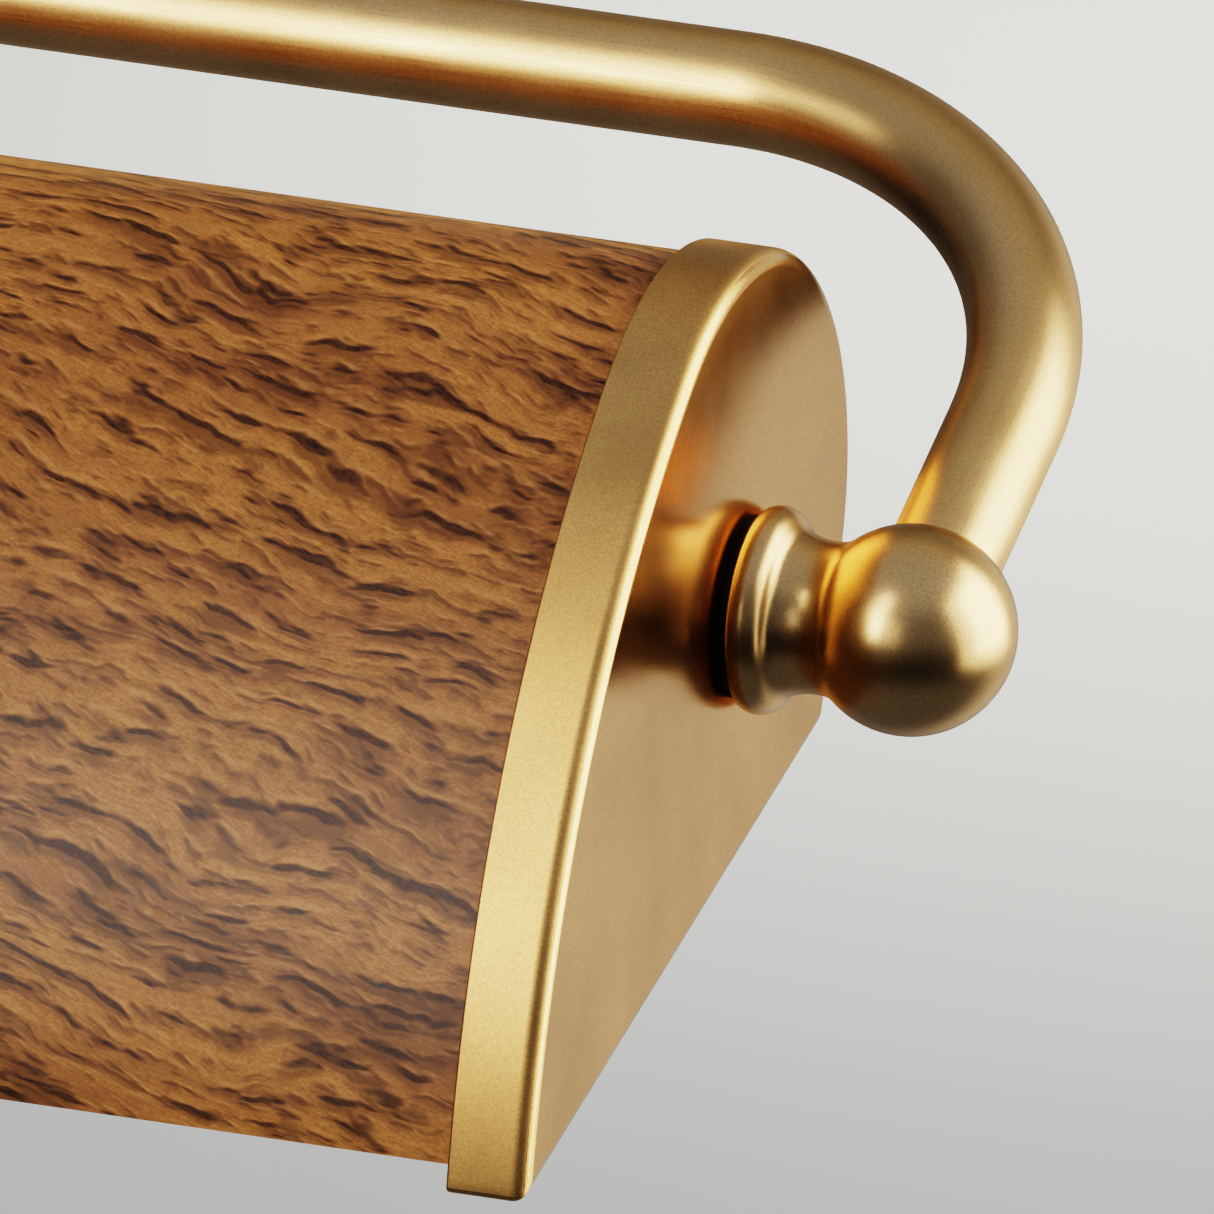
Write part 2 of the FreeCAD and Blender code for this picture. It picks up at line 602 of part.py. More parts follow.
def lamp(side_name, side):
    """Tubular lamp: a thin glass envelope on an E14 screw cap with a rolled thread."""
    mouth, tip, radius = "dims.holder_mouth", "dims.lamp_tip", "dims.lamp_radius"
    wall, neck = "dims.glass_wall", "dims.glass_neck"
    glass = [
        (f"{mouth} - 1", neck), (f"{mouth} - 8", f"{radius} - {wall}"),
        (f"{tip} + {radius}", f"{radius} - {wall}"),
        (f"{tip} + {wall}", "0", f"{radius} - {wall}", 1), (tip, "0"),
        (f"{tip} + {radius}", radius, radius, -1), (f"{mouth} - 8", radius),
        (f"{mouth} - 1", f"{neck} + {wall}")]
    turned(f"lamp_glass_{side_name}", "shade", "X", mirrored(glass, side))

    crest, root = "dims.cap_crest", "dims.cap_root"
    cap = [(f"{mouth} - 0.9", "0"), (f"{mouth} - 0.9", crest)]
    for ridge in range(THREAD_RIDGES):
        start = f"{mouth} + {1 + ridge * THREAD_PITCH}"
        cap.append((start, crest))
        cap.append((f"{start} + {THREAD_PITCH / 2}", root))
    cap += [(f"{mouth} + 16", crest), (f"{mouth} + 18", "dims.contact_radius"), (f"{mouth} + 18", "2.2"),
            (f"{mouth} + 19.5", "1.5"), (f"{mouth} + 19.5", "0")]
    turned(f"lamp_cap_{side_name}", "shade", "X", mirrored(cap, side))


def shade_wiring():
    """Supply lead from the right-hand pivot to its lampholder, and the link to the left one."""
    inside = "dims.holder_face - 8"
    swept("supply_lead", "shade", "XZ_Plane", "0",
          [("dims.cap_half_span - 6.5", "dims.supply_low"), (inside, "dims.supply_low")],
          "YZ_Plane", ["dims.lead_radius"])
    low, high, bend = "dims.link_low", "dims.link_height", "dims.lead_bend"
    turn_in = "dims.holder_face + 6"
    swept("link_lead", "shade", "XZ_Plane", "0", [
        (inside, low), (turn_in, low), (f"{turn_in} + {bend}", f"{low} + {bend}", bend, 1),
        (f"{turn_in} + {bend}", f"{high} - {bend}"), (turn_in, high, bend, 1),
        (f"-({turn_in})", high), (f"-({turn_in} + {bend})", f"{high} - {bend}", bend, 1),
        (f"-({turn_in} + {bend})", f"{low} + {bend}"), (f"-({turn_in})", low, bend, 1),
        (f"-({inside})", low)], "YZ_Plane", ["dims.lead_radius"])


# ---------------------------------------------------------------- pivots

def knuckle(name, side):
    """Turned brass knuckle: collar bead, hollow-curved neck and ball, with a socket for the yoke."""
    face = "dims.cap_half_span"
    centre = f"{face} + dims.ball_offset"
    neck_radius = "sqrt(pow(dims.ball_radius; 2) - pow(dims.ball_offset - dims.neck_end; 2))"
    steps = [
        (f"{face} + dims.bead_start", "dims.stud_radius"),
        (f"{face} + dims.bead_start", "dims.bead_face_radius"),
        (f"{face} + dims.bead_crest", "dims.bead_radius", "dims.bead_inner_curve", -1),
        (f"{face} + dims.crease", "dims.crease_radius", "dims.bead_outer_curve", -1),
        (f"{face} + dims.neck_end", neck_radius, "dims.neck_sweep", 1),
        (f"{centre} + dims.ball_radius", "0", "dims.ball_radius", -1),
        (f"{centre}", "0"),
        (f"{centre}", "dims.stud_bore_radius + 0.2"),
        (f"{centre} - dims.stud_seat", "dims.stud_bore_radius + 0.2"),
        (f"{centre} - dims.stud_seat", "dims.stud_radius")]
    body = turned(name, "arm", "X", mirrored(steps, side))
    middle = f"{side} * ({centre})"
    chamber = add_sketch(body, "XZ_Plane", "-dims.leg_start")
    add_circle(chamber, middle, "0", "dims.tube_radius - dims.tube_wall")
    add_pocket(body, chamber, "2 * dims.leg_start")
    socket = add_sketch(body, "XZ_Plane", "dims.leg_start")
    add_circle(socket, middle, "0", "dims.tube_radius + dims.socket_gap")
    add_pocket(body, socket, "dims.ball_radius")


def pivot_hardware(side_name, side):
    """What one shade pivot is held with, from the knuckle inwards."""
    face = "dims.cap_half_span"
    inner_end = f"{face} - dims.face_thickness - dims.sheet_gap - dims.strap_thickness"
    bore = "dims.stud_bore_radius" if side > 0 else "0"
    turned(f"pivot_stud_{side_name}", "arm", "X",
           mirrored(ring_steps("dims.stud_inner", f"{face} + dims.ball_offset - dims.stud_seat",
                               "dims.stud_radius", bore), side))
    turned(f"friction_washer_{side_name}", "shade", "X",
           mirrored(ring_steps(face, f"{face} + dims.washer_thickness", "dims.washer_radius",
                               "dims.stud_radius + dims.running_gap"), side))
    washer_outer = f"{inner_end} - dims.pivot_play"
    washer_inner = f"{washer_outer} - dims.spring_washer_height"
    turned(f"spring_washer_{side_name}", "arm", "X",
           mirrored(ring_steps(washer_inner, washer_outer, "dims.spring_washer_radius",
                               "dims.stud_radius"), side))
    nut_start = f"{washer_inner} - dims.pivot_nut_height" if side > 0 else f"-({washer_inner})"
    nut = hex_nut("dims.pivot_nut_corners", "dims.pivot_nut_height", "dims.stud_radius",
                  (nut_start, "0", "0"), ALONG_X)
    place(nut, f"pivot_nut_{side_name}", "arm")


def holder_fixing(side_name, side):
    """Threaded nipple and lock nut that clamp a lampholder to its plate."""
    back = "dims.holder_face + dims.strap_thickness"
    turned(f"holder_nipple_{side_name}", "shade", "X",
           mirrored(ring_steps("dims.holder_face - 2.5", f"{back} + 4", "dims.nipple_radius",
                               "dims.nipple_bore"), side))
    nut_start = back if side > 0 else f"-({back} + dims.nipple_nut_height)"
    nut = hex_nut("dims.nipple_nut_corners", "dims.nipple_nut_height", "dims.nipple_radius",
                  (nut_start, "0", "0"), ALONG_X)
    place(nut, f"holder_nut_{side_name}", "shade")


# ---------------------------------------------------------------- yoke and stem

def yoke_tube():
    """Bent tube: two legs, two bends and the bar behind the shade."""
    leg = "(dims.cap_half_span + dims.ball_offset)"
    bend, bar = "dims.bend_radius", "dims.bar_distance"
    body = swept("yoke_tube", "arm", "XY_Plane", "0", [
        (f"-{leg}", "dims.leg_start"), (f"-{leg}", f"{bar} - {bend}"),
        (f"-{leg} + {bend}", bar, bend, -1), (f"{leg} - {bend}", bar),
        (leg, f"{bar} - {bend}", bend, -1), (leg, "dims.leg_start")],
        "XZ_Plane", ["dims.tube_radius", "dims.tube_radius - dims.tube_wall"])
    entry = add_sketch(body, "XZ_Plane", bar)
    add_circle(entry, "dims.lead_offset", "0", "dims.wire_entry_radius")
    add_pocket(body, entry, "dims.tube_radius")


def tee_ball():
    """Ball tee that joins the stem to the middle of the bar."""
    bar, radius = "dims.bar_distance", "dims.tee_radius"
    collar = "dims.tee_collar"
    shoulder = f"{bar} + sqrt(pow({radius}; 2) - pow({collar}; 2))"
    collar_end = f"{shoulder} + dims.tee_collar_length"
    body = turned("tee_ball", "arm", "Y", [
        ("0", f"{bar} - {radius}"), (collar, shoulder, radius, 1), (collar, collar_end), ("0", collar_end)])
    through = add_sketch(body, "YZ_Plane", f"-{radius}")
    add_circle(through, bar, "0", "dims.tube_radius + dims.socket_gap")
    add_pocket(body, through, f"2 * {radius}")
    socket = add_sketch(body, "XZ_Plane", f"{bar} + dims.stem_start")
    add_circle(socket, "0", "0", "dims.tube_radius + dims.socket_gap")
    add_pocket(body, socket, "2 * dims.tee_radius")
    way = add_sketch(body, "XZ_Plane", bar)
    add_circle(way, "0", "0", "dims.tube_radius - dims.tube_wall")
    add_pocket(body, way, "2 * dims.tee_radius")


def stem_tube():
    """Straight tube from the ball tee to the swivel."""
    turned("stem_tube", "arm", "Y",
           ring_steps("dims.bar_distance + dims.stem_start",
                      "dims.arm_length - dims.boss_clearance - dims.arm_boss_length + dims.arm_socket_depth",
                      "dims.tube_radius", "dims.tube_radius - dims.tube_wall", axis="Y"))


def arm_lead():
    """Two-core lead from the swivel down the stem, along the bar and down the right-hand leg."""
    leg = "(dims.cap_half_span + dims.ball_offset)"
    bend, bar, entry = "dims.bend_radius", "dims.bar_distance", "dims.tight_bend"
    swept("arm_lead", "arm", "XY_Plane", "0", [
        ("dims.lead_offset", "dims.arm_length - dims.post_radius - 2 * dims.lead_radius"),
        ("dims.lead_offset", f"{bar} + {entry}"),
        (f"dims.lead_offset + {entry}", bar, entry, 1), (f"{leg} - {bend}", bar),
        (leg, f"{bar} - {bend}", bend, -1), (leg, "4"),
        (f"{leg} - 4", "0", "4", -1), ("dims.cap_half_span - 6", "0")],
        "XZ_Plane", ["dims.lead_radius"])


# ---------------------------------------------------------------- wall swivel

def half_drum(side, centre, boss_from, boss_length, socket_from, socket_length):
    """One half of the hollow swivel about X: a cupped half drum with a boss along Y."""
    depth = "dims.drum_width - dims.drum_gap"
    start = "dims.drum_gap" if side > 0 else "-dims.drum_width"
    chamber = "dims.drum_gap" if side > 0 else "-dims.chamber_depth"
    reach = "dims.boss_radius - dims.drum_gap"
    drum = rod("dims.drum_radius", depth, (start, centre, "0"), ALONG_X)
    boss = rod("dims.boss_radius", boss_length, ("0", boss_from, "0"), ALONG_Y)
    neck = rod("dims.boss_radius", "dims.boss_clearance",
               ("0", f"{centre} - dims.boss_clearance" if side > 0 else centre, "0"), ALONG_Y)
    half_space = box("dims.boss_radius", "2 * dims.drum_radius + 4", "2 * dims.boss_radius",
                     ("dims.drum_gap" if side > 0 else "-dims.boss_radius - dims.drum_gap",
                      f"{centre} - dims.drum_radius - 2", "-dims.boss_radius"))
    half_neck = doc.addObject("Part::Common", "half_neck")
    half_neck.Base = neck
    half_neck.Tool = half_space
    cup = rod("dims.drum_bore", "dims.chamber_depth - dims.drum_gap", (chamber, centre, "0"), ALONG_X)
    post = rod("dims.post_radius", "dims.chamber_depth - dims.drum_gap + 0.5",
               (chamber if side > 0 else f"{chamber} - 0.5", centre, "0"), ALONG_X)
    lead_way = rod("dims.lead_radius + 0.5", "2 * dims.drum_radius",
                   (f"{side} * dims.lead_offset",
                    f"{centre} - 2 * dims.drum_radius - dims.post_radius" if side > 0
                    else f"{centre} + dims.post_radius", "0"), ALONG_Y)
    socket = rod("dims.tube_radius + dims.socket_gap", socket_length, ("0", socket_from, "0"), ALONG_Y)
    screw_way = rod("dims.swivel_screw_radius + dims.running_gap", depth, (start, centre, "0"), ALONG_X)
    body = difference(union(drum, half_neck, boss), cup, lead_way, socket)
    return difference(union(body, post), screw_way)


def swivel():
    """Hollow swivel on the wall plate: base half, arm half, clamping screw and thumb nut."""
    wall_axis = "-dims.swivel_reach"
    plate_front = "-dims.plate_depth"
    base_length = f"{plate_front} - ({wall_axis}) - dims.boss_clearance"
    base = half_drum(-1, wall_axis, f"{wall_axis} + dims.boss_clearance", base_length,
                     f"{plate_front} - dims.base_socket_depth", "dims.base_socket_depth")
    flange_place = ("0", f"{plate_front} - dims.flange_height", "0")
    flange = rod("dims.flange_radius", "dims.flange_height", flange_place, ALONG_Y)
    flange_way = rod("dims.nipple_radius + dims.socket_gap", "dims.flange_height", flange_place, ALONG_Y)
    place(union(base, difference(flange, flange_way)), "swivel_base", "wall")

    boss_end = "dims.arm_length - dims.boss_clearance - dims.arm_boss_length"
    arm = half_drum(1, "dims.arm_length", boss_end, "dims.arm_boss_length", boss_end,
                    "dims.arm_socket_depth")
    place(arm, "swivel_arm", "arm")

    shank = rod("dims.swivel_screw_radius", "2 * dims.drum_width + dims.thumb_nut_width",
                ("-dims.drum_width - dims.thumb_nut_width", wall_axis, "0"), ALONG_X)
    head = rod("dims.swivel_head_radius", "dims.swivel_head_height",
               ("dims.drum_width", wall_axis, "0"), ALONG_X)
    slot = box("1", "8", "0.9", ("dims.drum_width + 1.4", f"{wall_axis} - 4", "-0.45"))
    place(difference(union(shank, head), slot), "swivel_screw", "wall")


def thumb_nut():
    """Knurled thumb nut on the left-hand end of the swivel screw."""
    outer = "-dims.drum_width - dims.thumb_nut_width"
    body = add_body("thumb_nut", "wall")
    blank = add_sketch(body, "YZ_Plane", outer)
    add_circle(blank, "-dims.swivel_reach", "0", "dims.thumb_nut_radius")
    add_circle(blank, "-dims.swivel_reach", "0", "dims.swivel_screw_radius")
    add_pad(body, blank, "dims.thumb_nut_width")
    notch = add_sketch(body, "YZ_Plane", outer)
    add_circle(notch, "-dims.swivel_reach", "dims.thumb_nut_radius + 0.2", "dims.knurl_radius")
    cut = add_pocket(body, notch, "dims.thumb_nut_width")
    axis_sketch = add_sketch(body, "YZ_Plane", outer)
    add_circle(axis_sketch, "-dims.swivel_reach", "0", "1")
    pattern = body.newObject("PartDesign::PolarPattern", "knurl")
    pattern.Originals = [cut]
    pattern.Axis = (axis_sketch, ["N_Axis"])
    pattern.Angle = 360
    pattern.Occurrences = KNURL_COUNT
    body.Tip = pattern
    doc.recompute()


# ---------------------------------------------------------------- wall plate

def wall_plate():
    """Spun brass cover: rounded rim, flat ring for the cover nuts, and an ogee up to the middle."""
    radius, wall = "dims.plate_radius", "dims.plate_wall"
    shelf, front = "-dims.shelf_depth", "-dims.plate_depth"
    bore = "dims.nipple_radius + dims.socket_gap"
    rim, curve = "dims.rim_radius", "dims.ogee_curve"
    start, middle, end = "dims.ogee_start", "dims.ogee_middle", "dims.ogee_end"
    steps = [
        (radius, "0"), (f"{radius} - {wall}", "0"), (f"{radius} - {wall}", f"{shelf} + {rim}"),
        (f"{radius} - {rim}", f"{shelf} + {wall}", f"{rim} - {wall}", -1), (start, f"{shelf} + {wall}"),
        (middle, f"{shelf} - {curve} + {wall}", curve, 1), (end, f"{front} + {wall}", curve, -1),
        (bore, f"{front} + {wall}"), (bore, front), (end, front),
        (f"{middle} + {wall} * 0.7", f"{shelf} - {curve} + {wall} * 0.3", f"{curve} + 1", 1),
        (f"{start} + {wall} * 0.7", shelf, curve, -1),
        (f"{radius} - {rim}", shelf), (radius, f"{shelf} + {rim}", rim, 1)]
    body = turned("wall_plate", "wall", "Y", steps)
    holes = add_sketch(body, "XZ_Plane", f"{shelf} - 1")
    for side in (-1, 1):
        add_circle(holes, f"{side} * dims.cover_stud_offset", "0", "dims.cover_stud_radius + 0.1")
    add_pocket(body, holes, f"{wall} + 2")


def mounting_bracket():
    """Steel strip screwed to the wall; it carries the cover studs, earth screw and terminals."""
    body = add_body("mounting_bracket", "wall")
    half, rise = "dims.bracket_length / 2", "dims.bracket_height / 2"
    blank = add_sketch(body, "XZ_Plane", "-dims.bracket_thickness")
    add_outline(blank, [
        (f"{half} - {rise}", f"-{rise}"), (f"{half} - {rise}", rise, f"{rise} + 1e-6", 1),
        (f"-({half} - {rise})", rise), (f"-({half} - {rise})", f"-{rise}", f"{rise} + 1e-6", 1)])
    pad = add_pad(body, blank, "dims.bracket_thickness")
    pad.Reversed = True
    doc.recompute()
    holes = add_sketch(body, "XZ_Plane", "-dims.bracket_thickness")
    add_circle(holes, "0", "0", "dims.cable_hole")
    add_circle(holes, "dims.earth_screw_across", "dims.earth_screw_up", "dims.cover_stud_radius")
    for side in (-1, 1):
        add_circle(holes, f"{side} * dims.wall_screw_spacing / 2", "0", "dims.wall_screw_hole")
        add_circle(holes, f"{side} * dims.cover_stud_offset", "0", "dims.cover_stud_radius")
    add_pocket(body, holes, "dims.bracket_thickness")


def cover_fixings():
    """Two studs fixed in the bracket and the domed nuts that hold the cover on them."""
    studs = []
    nuts = []
    shelf = "-dims.shelf_depth"
    for side in (-1, 1):
        across = f"{side} * dims.cover_stud_offset"
        studs.append(rod("dims.cover_stud_radius", "dims.shelf_depth + dims.cover_stud_reach",
                         (across, f"{shelf} - dims.cover_stud_reach", "0"), ALONG_Y))
        top = (across, f"{shelf} - dims.cover_nut_height", "0")
        skirt = hex_nut("dims.cover_nut_corners", "dims.cover_nut_height", "dims.cover_stud_radius",
                        top, ALONG_Y)
        dome = primitive("Sphere", {"Radius": "dims.cover_dome_radius", "Angle1": "0"}, top,
                         Rotation(Vector(1, 0, 0), 90))
        nuts.append(union(skirt, dome))
    place(group(*studs), "cover_studs", "wall")
    place(group(*nuts), "cover_nuts", "wall")


def plate_nipple():
    """Threaded nipple, washer and lock nut that clamp the swivel base to the cover."""
    front, wall = "-dims.plate_depth", "dims.plate_wall"
    turned("plate_nipple", "wall", "Y",
           ring_steps(f"{front} - dims.base_socket_depth", f"{front} + {wall} + 6",
                      "dims.nipple_radius", "dims.nipple_bore", axis="Y"))
    turned("plate_washer", "wall", "Y",
           ring_steps(f"{front} + {wall}", f"{front} + {wall} + 1", "dims.plate_washer_radius",
                      "dims.nipple_radius + dims.socket_gap", axis="Y"))
    nut = hex_nut("dims.nipple_nut_corners", "dims.nipple_nut_height", "dims.nipple_radius",
                  ("0", f"{front} + {wall} + 1", "0"), ALONG_Y)
    place(nut, "plate_nut", "wall")


def terminals():
    """Three-way terminal block with its clamp screws, and the bracket's earth screw."""
    back = "-dims.bracket_thickness"
    low, depth, rise = "dims.block_bottom", "dims.block_depth", "dims.block_height"
    block = box("dims.block_width", depth, rise, ("-dims.block_width / 2", f"{back} - {depth}", low))
    ways = []
    screws = []
    for pole in (-1, 0, 1):
        across = f"{pole} * dims.pole_spacing"
        ways.append(rod("dims.pole_bore", rise, (across, f"{back} - dims.pole_depth", low)))
        for share in (0.27, 0.73):
            height = f"{low} + {share} * {rise}"
            ways.append(rod("dims.clamp_way_radius", "dims.clamp_way_depth",
                            (across, f"{back} - {depth}", height), ALONG_Y))
            screws.append(rod("dims.clamp_radius", "dims.clamp_length",
                              (across, f"{back} - {depth} + dims.clamp_sunk", height), ALONG_Y))
    place(difference(block, *ways), "terminal_block", "wall")
    place(group(*screws), "terminal_screws", "wall")

    across, up, reach = "dims.earth_screw_across", "dims.earth_screw_up", "dims.earth_screw_reach"
    shank = rod("dims.cover_stud_radius", f"{reach} + dims.bracket_thickness",
                (across, f"{back} - {reach}", up), ALONG_Y)
    head = rod("dims.earth_head_radius", "dims.earth_head_height",
               (across, f"{back} - {reach} - dims.earth_head_height", up), ALONG_Y)
    place(union(shank, head), "earth_screw", "wall")


def wall_lead():
    """Lead from the terminal block through the nipple into the swivel."""
    across = "-dims.lead_offset"
    level, bend = "-dims.bracket_thickness - dims.pole_depth", "dims.lead_bend"
    swept("wall_lead", "wall", "YZ_Plane", across, [
        (level, "dims.block_bottom"), (level, bend), (f"{level} - {bend}", "0", bend, -1),
        ("-dims.swivel_reach + dims.post_radius + 2 * dims.lead_radius", "0")],
        "XY_Plane", ["dims.lead_radius"])


# ---------------------------------------------------------------- build, check and write

def build():
    fill_sheet()
    shade_shell()
    tie_strap()
    strap_rivets()
    shade_wiring()
    for side_name, side in SIDES:
        end_cap(f"end_cap_{side_name}", side)
        holder_plate(f"holder_plate_{side_name}", side)
        lampholder(f"lampholder_{side_name}", side)
        lamp(side_name, side)
        holder_fixing(side_name, side)
        knuckle(f"knuckle_{side_name}", side)
        pivot_hardware(side_name, side)
    yoke_tube()
    tee_ball()
    stem_tube()
    arm_lead()
    swivel()
    thumb_nut()
    wall_plate()
    mounting_bracket()
    cover_fixings()
    plate_nipple()
    terminals()
    wall_lead()
    doc.recompute()


def check():
    for item in doc.Objects:
        if "Invalid" in item.State or "Error" in item.State:
            raise RuntimeError(f"{item.Label} ({item.TypeId}) is in state {item.State}")
    for piece in subparts:
        if piece.Shape.isNull() or not piece.Shape.isValid():
            raise RuntimeError(f"{piece.Label}: null or invalid shape")
        if not piece.Shape.Solids:
            raise RuntimeError(f"{piece.Label}: no solid")


def write():
    os.makedirs("parts", exist_ok=True)
    for piece in subparts:
        piece.Shape.exportStep(f"parts/{piece.Label}.step")
        print(f"{piece.Label}: {len(piece.Shape.Solids)} solid(s), {piece.Shape.Volume:.0f} mm3")


build()
check()
write()
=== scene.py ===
"""Looks of the picture light: materials, the finely made visible pieces, a plain floor, soft studio light
and a camera close to the right-hand end of the shade. Lengths are in metres, angles in degrees."""
import json
from math import atan2, ceil, cos, degrees, hypot, pi, radians, sin, sqrt

import bmesh
import bpy
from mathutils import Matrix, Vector

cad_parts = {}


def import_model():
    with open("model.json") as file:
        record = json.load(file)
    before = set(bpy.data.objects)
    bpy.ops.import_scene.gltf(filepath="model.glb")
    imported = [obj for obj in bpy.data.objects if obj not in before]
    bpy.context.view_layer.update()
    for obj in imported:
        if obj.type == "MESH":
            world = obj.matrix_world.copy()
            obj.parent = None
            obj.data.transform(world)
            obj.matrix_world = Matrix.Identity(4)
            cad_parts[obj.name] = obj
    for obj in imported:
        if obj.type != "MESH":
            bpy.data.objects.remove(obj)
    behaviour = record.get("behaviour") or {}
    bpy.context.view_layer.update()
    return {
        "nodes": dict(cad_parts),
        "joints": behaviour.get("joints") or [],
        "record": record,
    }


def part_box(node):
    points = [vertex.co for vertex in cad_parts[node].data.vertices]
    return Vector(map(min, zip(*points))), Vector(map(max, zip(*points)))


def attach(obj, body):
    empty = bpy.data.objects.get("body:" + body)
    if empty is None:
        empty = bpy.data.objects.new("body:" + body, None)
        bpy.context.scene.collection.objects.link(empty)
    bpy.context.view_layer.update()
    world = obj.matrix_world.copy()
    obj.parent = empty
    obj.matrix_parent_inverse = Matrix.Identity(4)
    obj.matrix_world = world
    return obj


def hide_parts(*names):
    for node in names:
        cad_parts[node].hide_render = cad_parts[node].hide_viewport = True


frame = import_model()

MM = 0.001

# Shade section, measured from the pivot axis: Y towards the wall, Z up.
REAR_CENTRE = (-0.5 * MM, 4.9 * MM)
REAR_RADIUS = 26.5 * MM
FRONT_RADIUS = 94 * MM
SHOULDER_ANGLE = 123
FLAT_ANGLE = -21
MOUTH_TILT = 11.2
MOUTH_DISTANCE = 21.6 * MM
SHEET_GAP = 0.05 * MM
SHEET_THICKNESS = 0.8 * MM
SHEET_SETBACK = 1.7 * MM
SHEET_COLUMNS = 24

# End caps. The rim's inner edge is rolled over, and a short strip lies beside each rounded edge.
CAP_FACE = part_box("end_cap_right")[1].x
CAP_RIM = 7.3 * MM
CAP_SKIRT = 1.3 * MM
CAP_THICKNESS = 1.5 * MM
CAP_EDGE = 1.5 * MM
RIM_ROLL = 0.2 * MM
EDGE_STRIP = 0.05 * MM
TIP_CORNER = 0.5 * MM
REAR_CORNER = 1.6 * MM
LEAST_CORNER = 0.02 * MM
STUD_HOLE = 4.05 * MM

# Knuckles: distances along X from the cap's face, some with a radius. Polishing evens out each point of
# the turned outline over a number of neighbours on both sides.
STUD_RADIUS = 4 * MM
STUD_SEAT = 9.0 * MM
BEAD_START = (0.75 * MM, 8.6 * MM)
BEAD_CREST = (1.9 * MM, 9.1 * MM)
BEAD_FRONT_ROUND = 1.6 * MM
BEAD_BACK_ROUND = 2.3 * MM
CREASE = (4.0 * MM, 7.4 * MM)
NECK_END = 8.6 * MM
NECK_SWEEP = 6.2 * MM
BALL_CENTRE = 14.7 * MM
BALL_RADIUS = 9.15 * MM
TURNING_STEP = 0.2 * MM
POLISH = 3

# Yoke tube: bar and legs lie in a plane that slopes up from the pivots to the wall.
ARM_SLOPE = 22
TUBE_RADIUS = 5 * MM
TUBE_BORE = 4 * MM
LEG_START = 3 * MM
BEND_RADIUS = 36 * MM
BAR_DISTANCE = 61.1 * MM

# Fineness of the meshes: sides of round pieces, steps along arcs, degrees in each step of the cap's edge,
# the angle that stays a sharp edge, and the distance at which points are joined.
KNUCKLE_SIDES = 128
TUBE_SIDES = 64
BEND_STEPS = 48
SHEET_ARC_STEPS = 64
CAP_ARC_STEPS = 90
CORNER_STEPS = 10
MOUTH_STEPS = 16
EDGE_TURN = 9
SHARP_ANGLE = 40
WELD = 0.0001 * MM

# Colours of the printed film, and of the painted highlight lines over its flecks.
GROUND_LIGHT = (0.60, 0.262, 0.070)
GROUND_BROWN = (0.25, 0.095, 0.032)
# painted highlight colour of the lines over the flecks' upper edges
PAINTED_HIGHLIGHT_COLOUR = (0.76, 0.38, 0.14)
FLECK = (0.042, 0.015, 0.007)

# The film's two layers of flecks: size along and across, turn, and place in the pattern. Each fleck gets a
# painted shadow below it and a painted highlight line above it, from the pattern a part of its height away,
# and painted shade along its upper edge.
LONG_FLECKS = ((5.8 * MM, 1.65 * MM), -14, (0.0, 0.0))
SHORT_FLECKS = ((3.4 * MM, 1.15 * MM), -20, (7.3, 3.1))
SHORT_FLECK_SHARE = 0.65
FLECK_SHADOW = 0.30
FLECK_LIGHT = 0.22
GRAIN_SWELL = 10 * MM
GRAIN_RIPPLE = 1.6 * MM

# Brass, from worn to clean and the dark of its grain: sheet is a little redder than tube and rod.
SHEET_BRASS = ((0.60, 0.340, 0.122), (0.77, 0.448, 0.173), (0.44, 0.245, 0.092))
ROD_BRASS = ((0.68, 0.425, 0.180), (0.77, 0.490, 0.225), (0.50, 0.305, 0.135))

# Camera and stage.
CAMERA_AZIMUTH = 20
CAMERA_ELEVATION = 23
VIEW_HEIGHT = 103.8 * MM
HALF_ANGLE = 0.0105
SENSOR = 36
FAR_CLIP = 100
AIM_LEFT = 12.2 * MM
FLOOR_DEPTH = 0.6
FLOOR_RADIUS = 30
FLOOR_COLOURS = ((0.646, 0.625, 0.554), (0.676, 0.655, 0.581))
GLOW_CENTRE = (-0.24, 1.25)
GLOW_HEIGHT = 0.46
GLOW_CONE = 78
GLOW_POWER = 8.0
COOL_ROOM = (0.89, 1.03, 1.38)
WARM_ROOM = (1.0, 0.985, 0.95)
BACKDROP = 0.6  # brightness of the room where the camera sees it

# Soft lights: name, azimuth, elevation, distance, width, height and brightness.
SOFTBOXES = (
    ("right_softbox", 110, 11, 1.5, 2.3, 2.3, 1.2),
    ("right_core", 115, 12, 1.4, 1.2, 1.5, 1.9),
    ("front_strip", -22, 20, 1.6, 0.22, 0.60, 6.2),
    ("front_fill", -3, 18, 1.8, 0.50, 0.80, 0.55),
    ("front_strip_high", -23, 42, 1.6, 0.34, 0.76, 2.5),
    ("left_fill", -45, 28, 1.8, 1.0, 0.70, 1.15),
)
LIGHT_POWER = 4  # watts from each square metre at a brightness of 1

joints = {joint["name"]: joint for joint in frame["joints"]}
PIVOT = Vector(joints["shade_tilt"]["pos_m"])


# ---------------------------------------------------------------- directions

def direction(azimuth, elevation):
    """Unit vector; azimuth 0 is the front (-Y) and 90 the right (+X)."""
    a, e = radians(azimuth), radians(elevation)
    return Vector((sin(a) * cos(e), -cos(a) * cos(e), sin(e)))


def facing(point, target):
    """Rotation that turns a light or camera at a point towards a target."""
    return (target - point).to_track_quat("-Z", "Y").to_euler()


# ---------------------------------------------------------------- material nodes

def new_material(name):
    material = bpy.data.materials.new(name)
    material.use_nodes = True
    tree = material.node_tree
    return material, tree, tree.nodes["Principled BSDF"]


def node(tree, kind, inputs=None, **settings):
    """Add a node; inputs are values or output sockets, by name or number."""
    made = tree.nodes.new(kind)
    for key, value in settings.items():
        setattr(made, key, value)
    for key, value in (inputs or {}).items():
        put(tree, made.inputs[key], value)
    return made


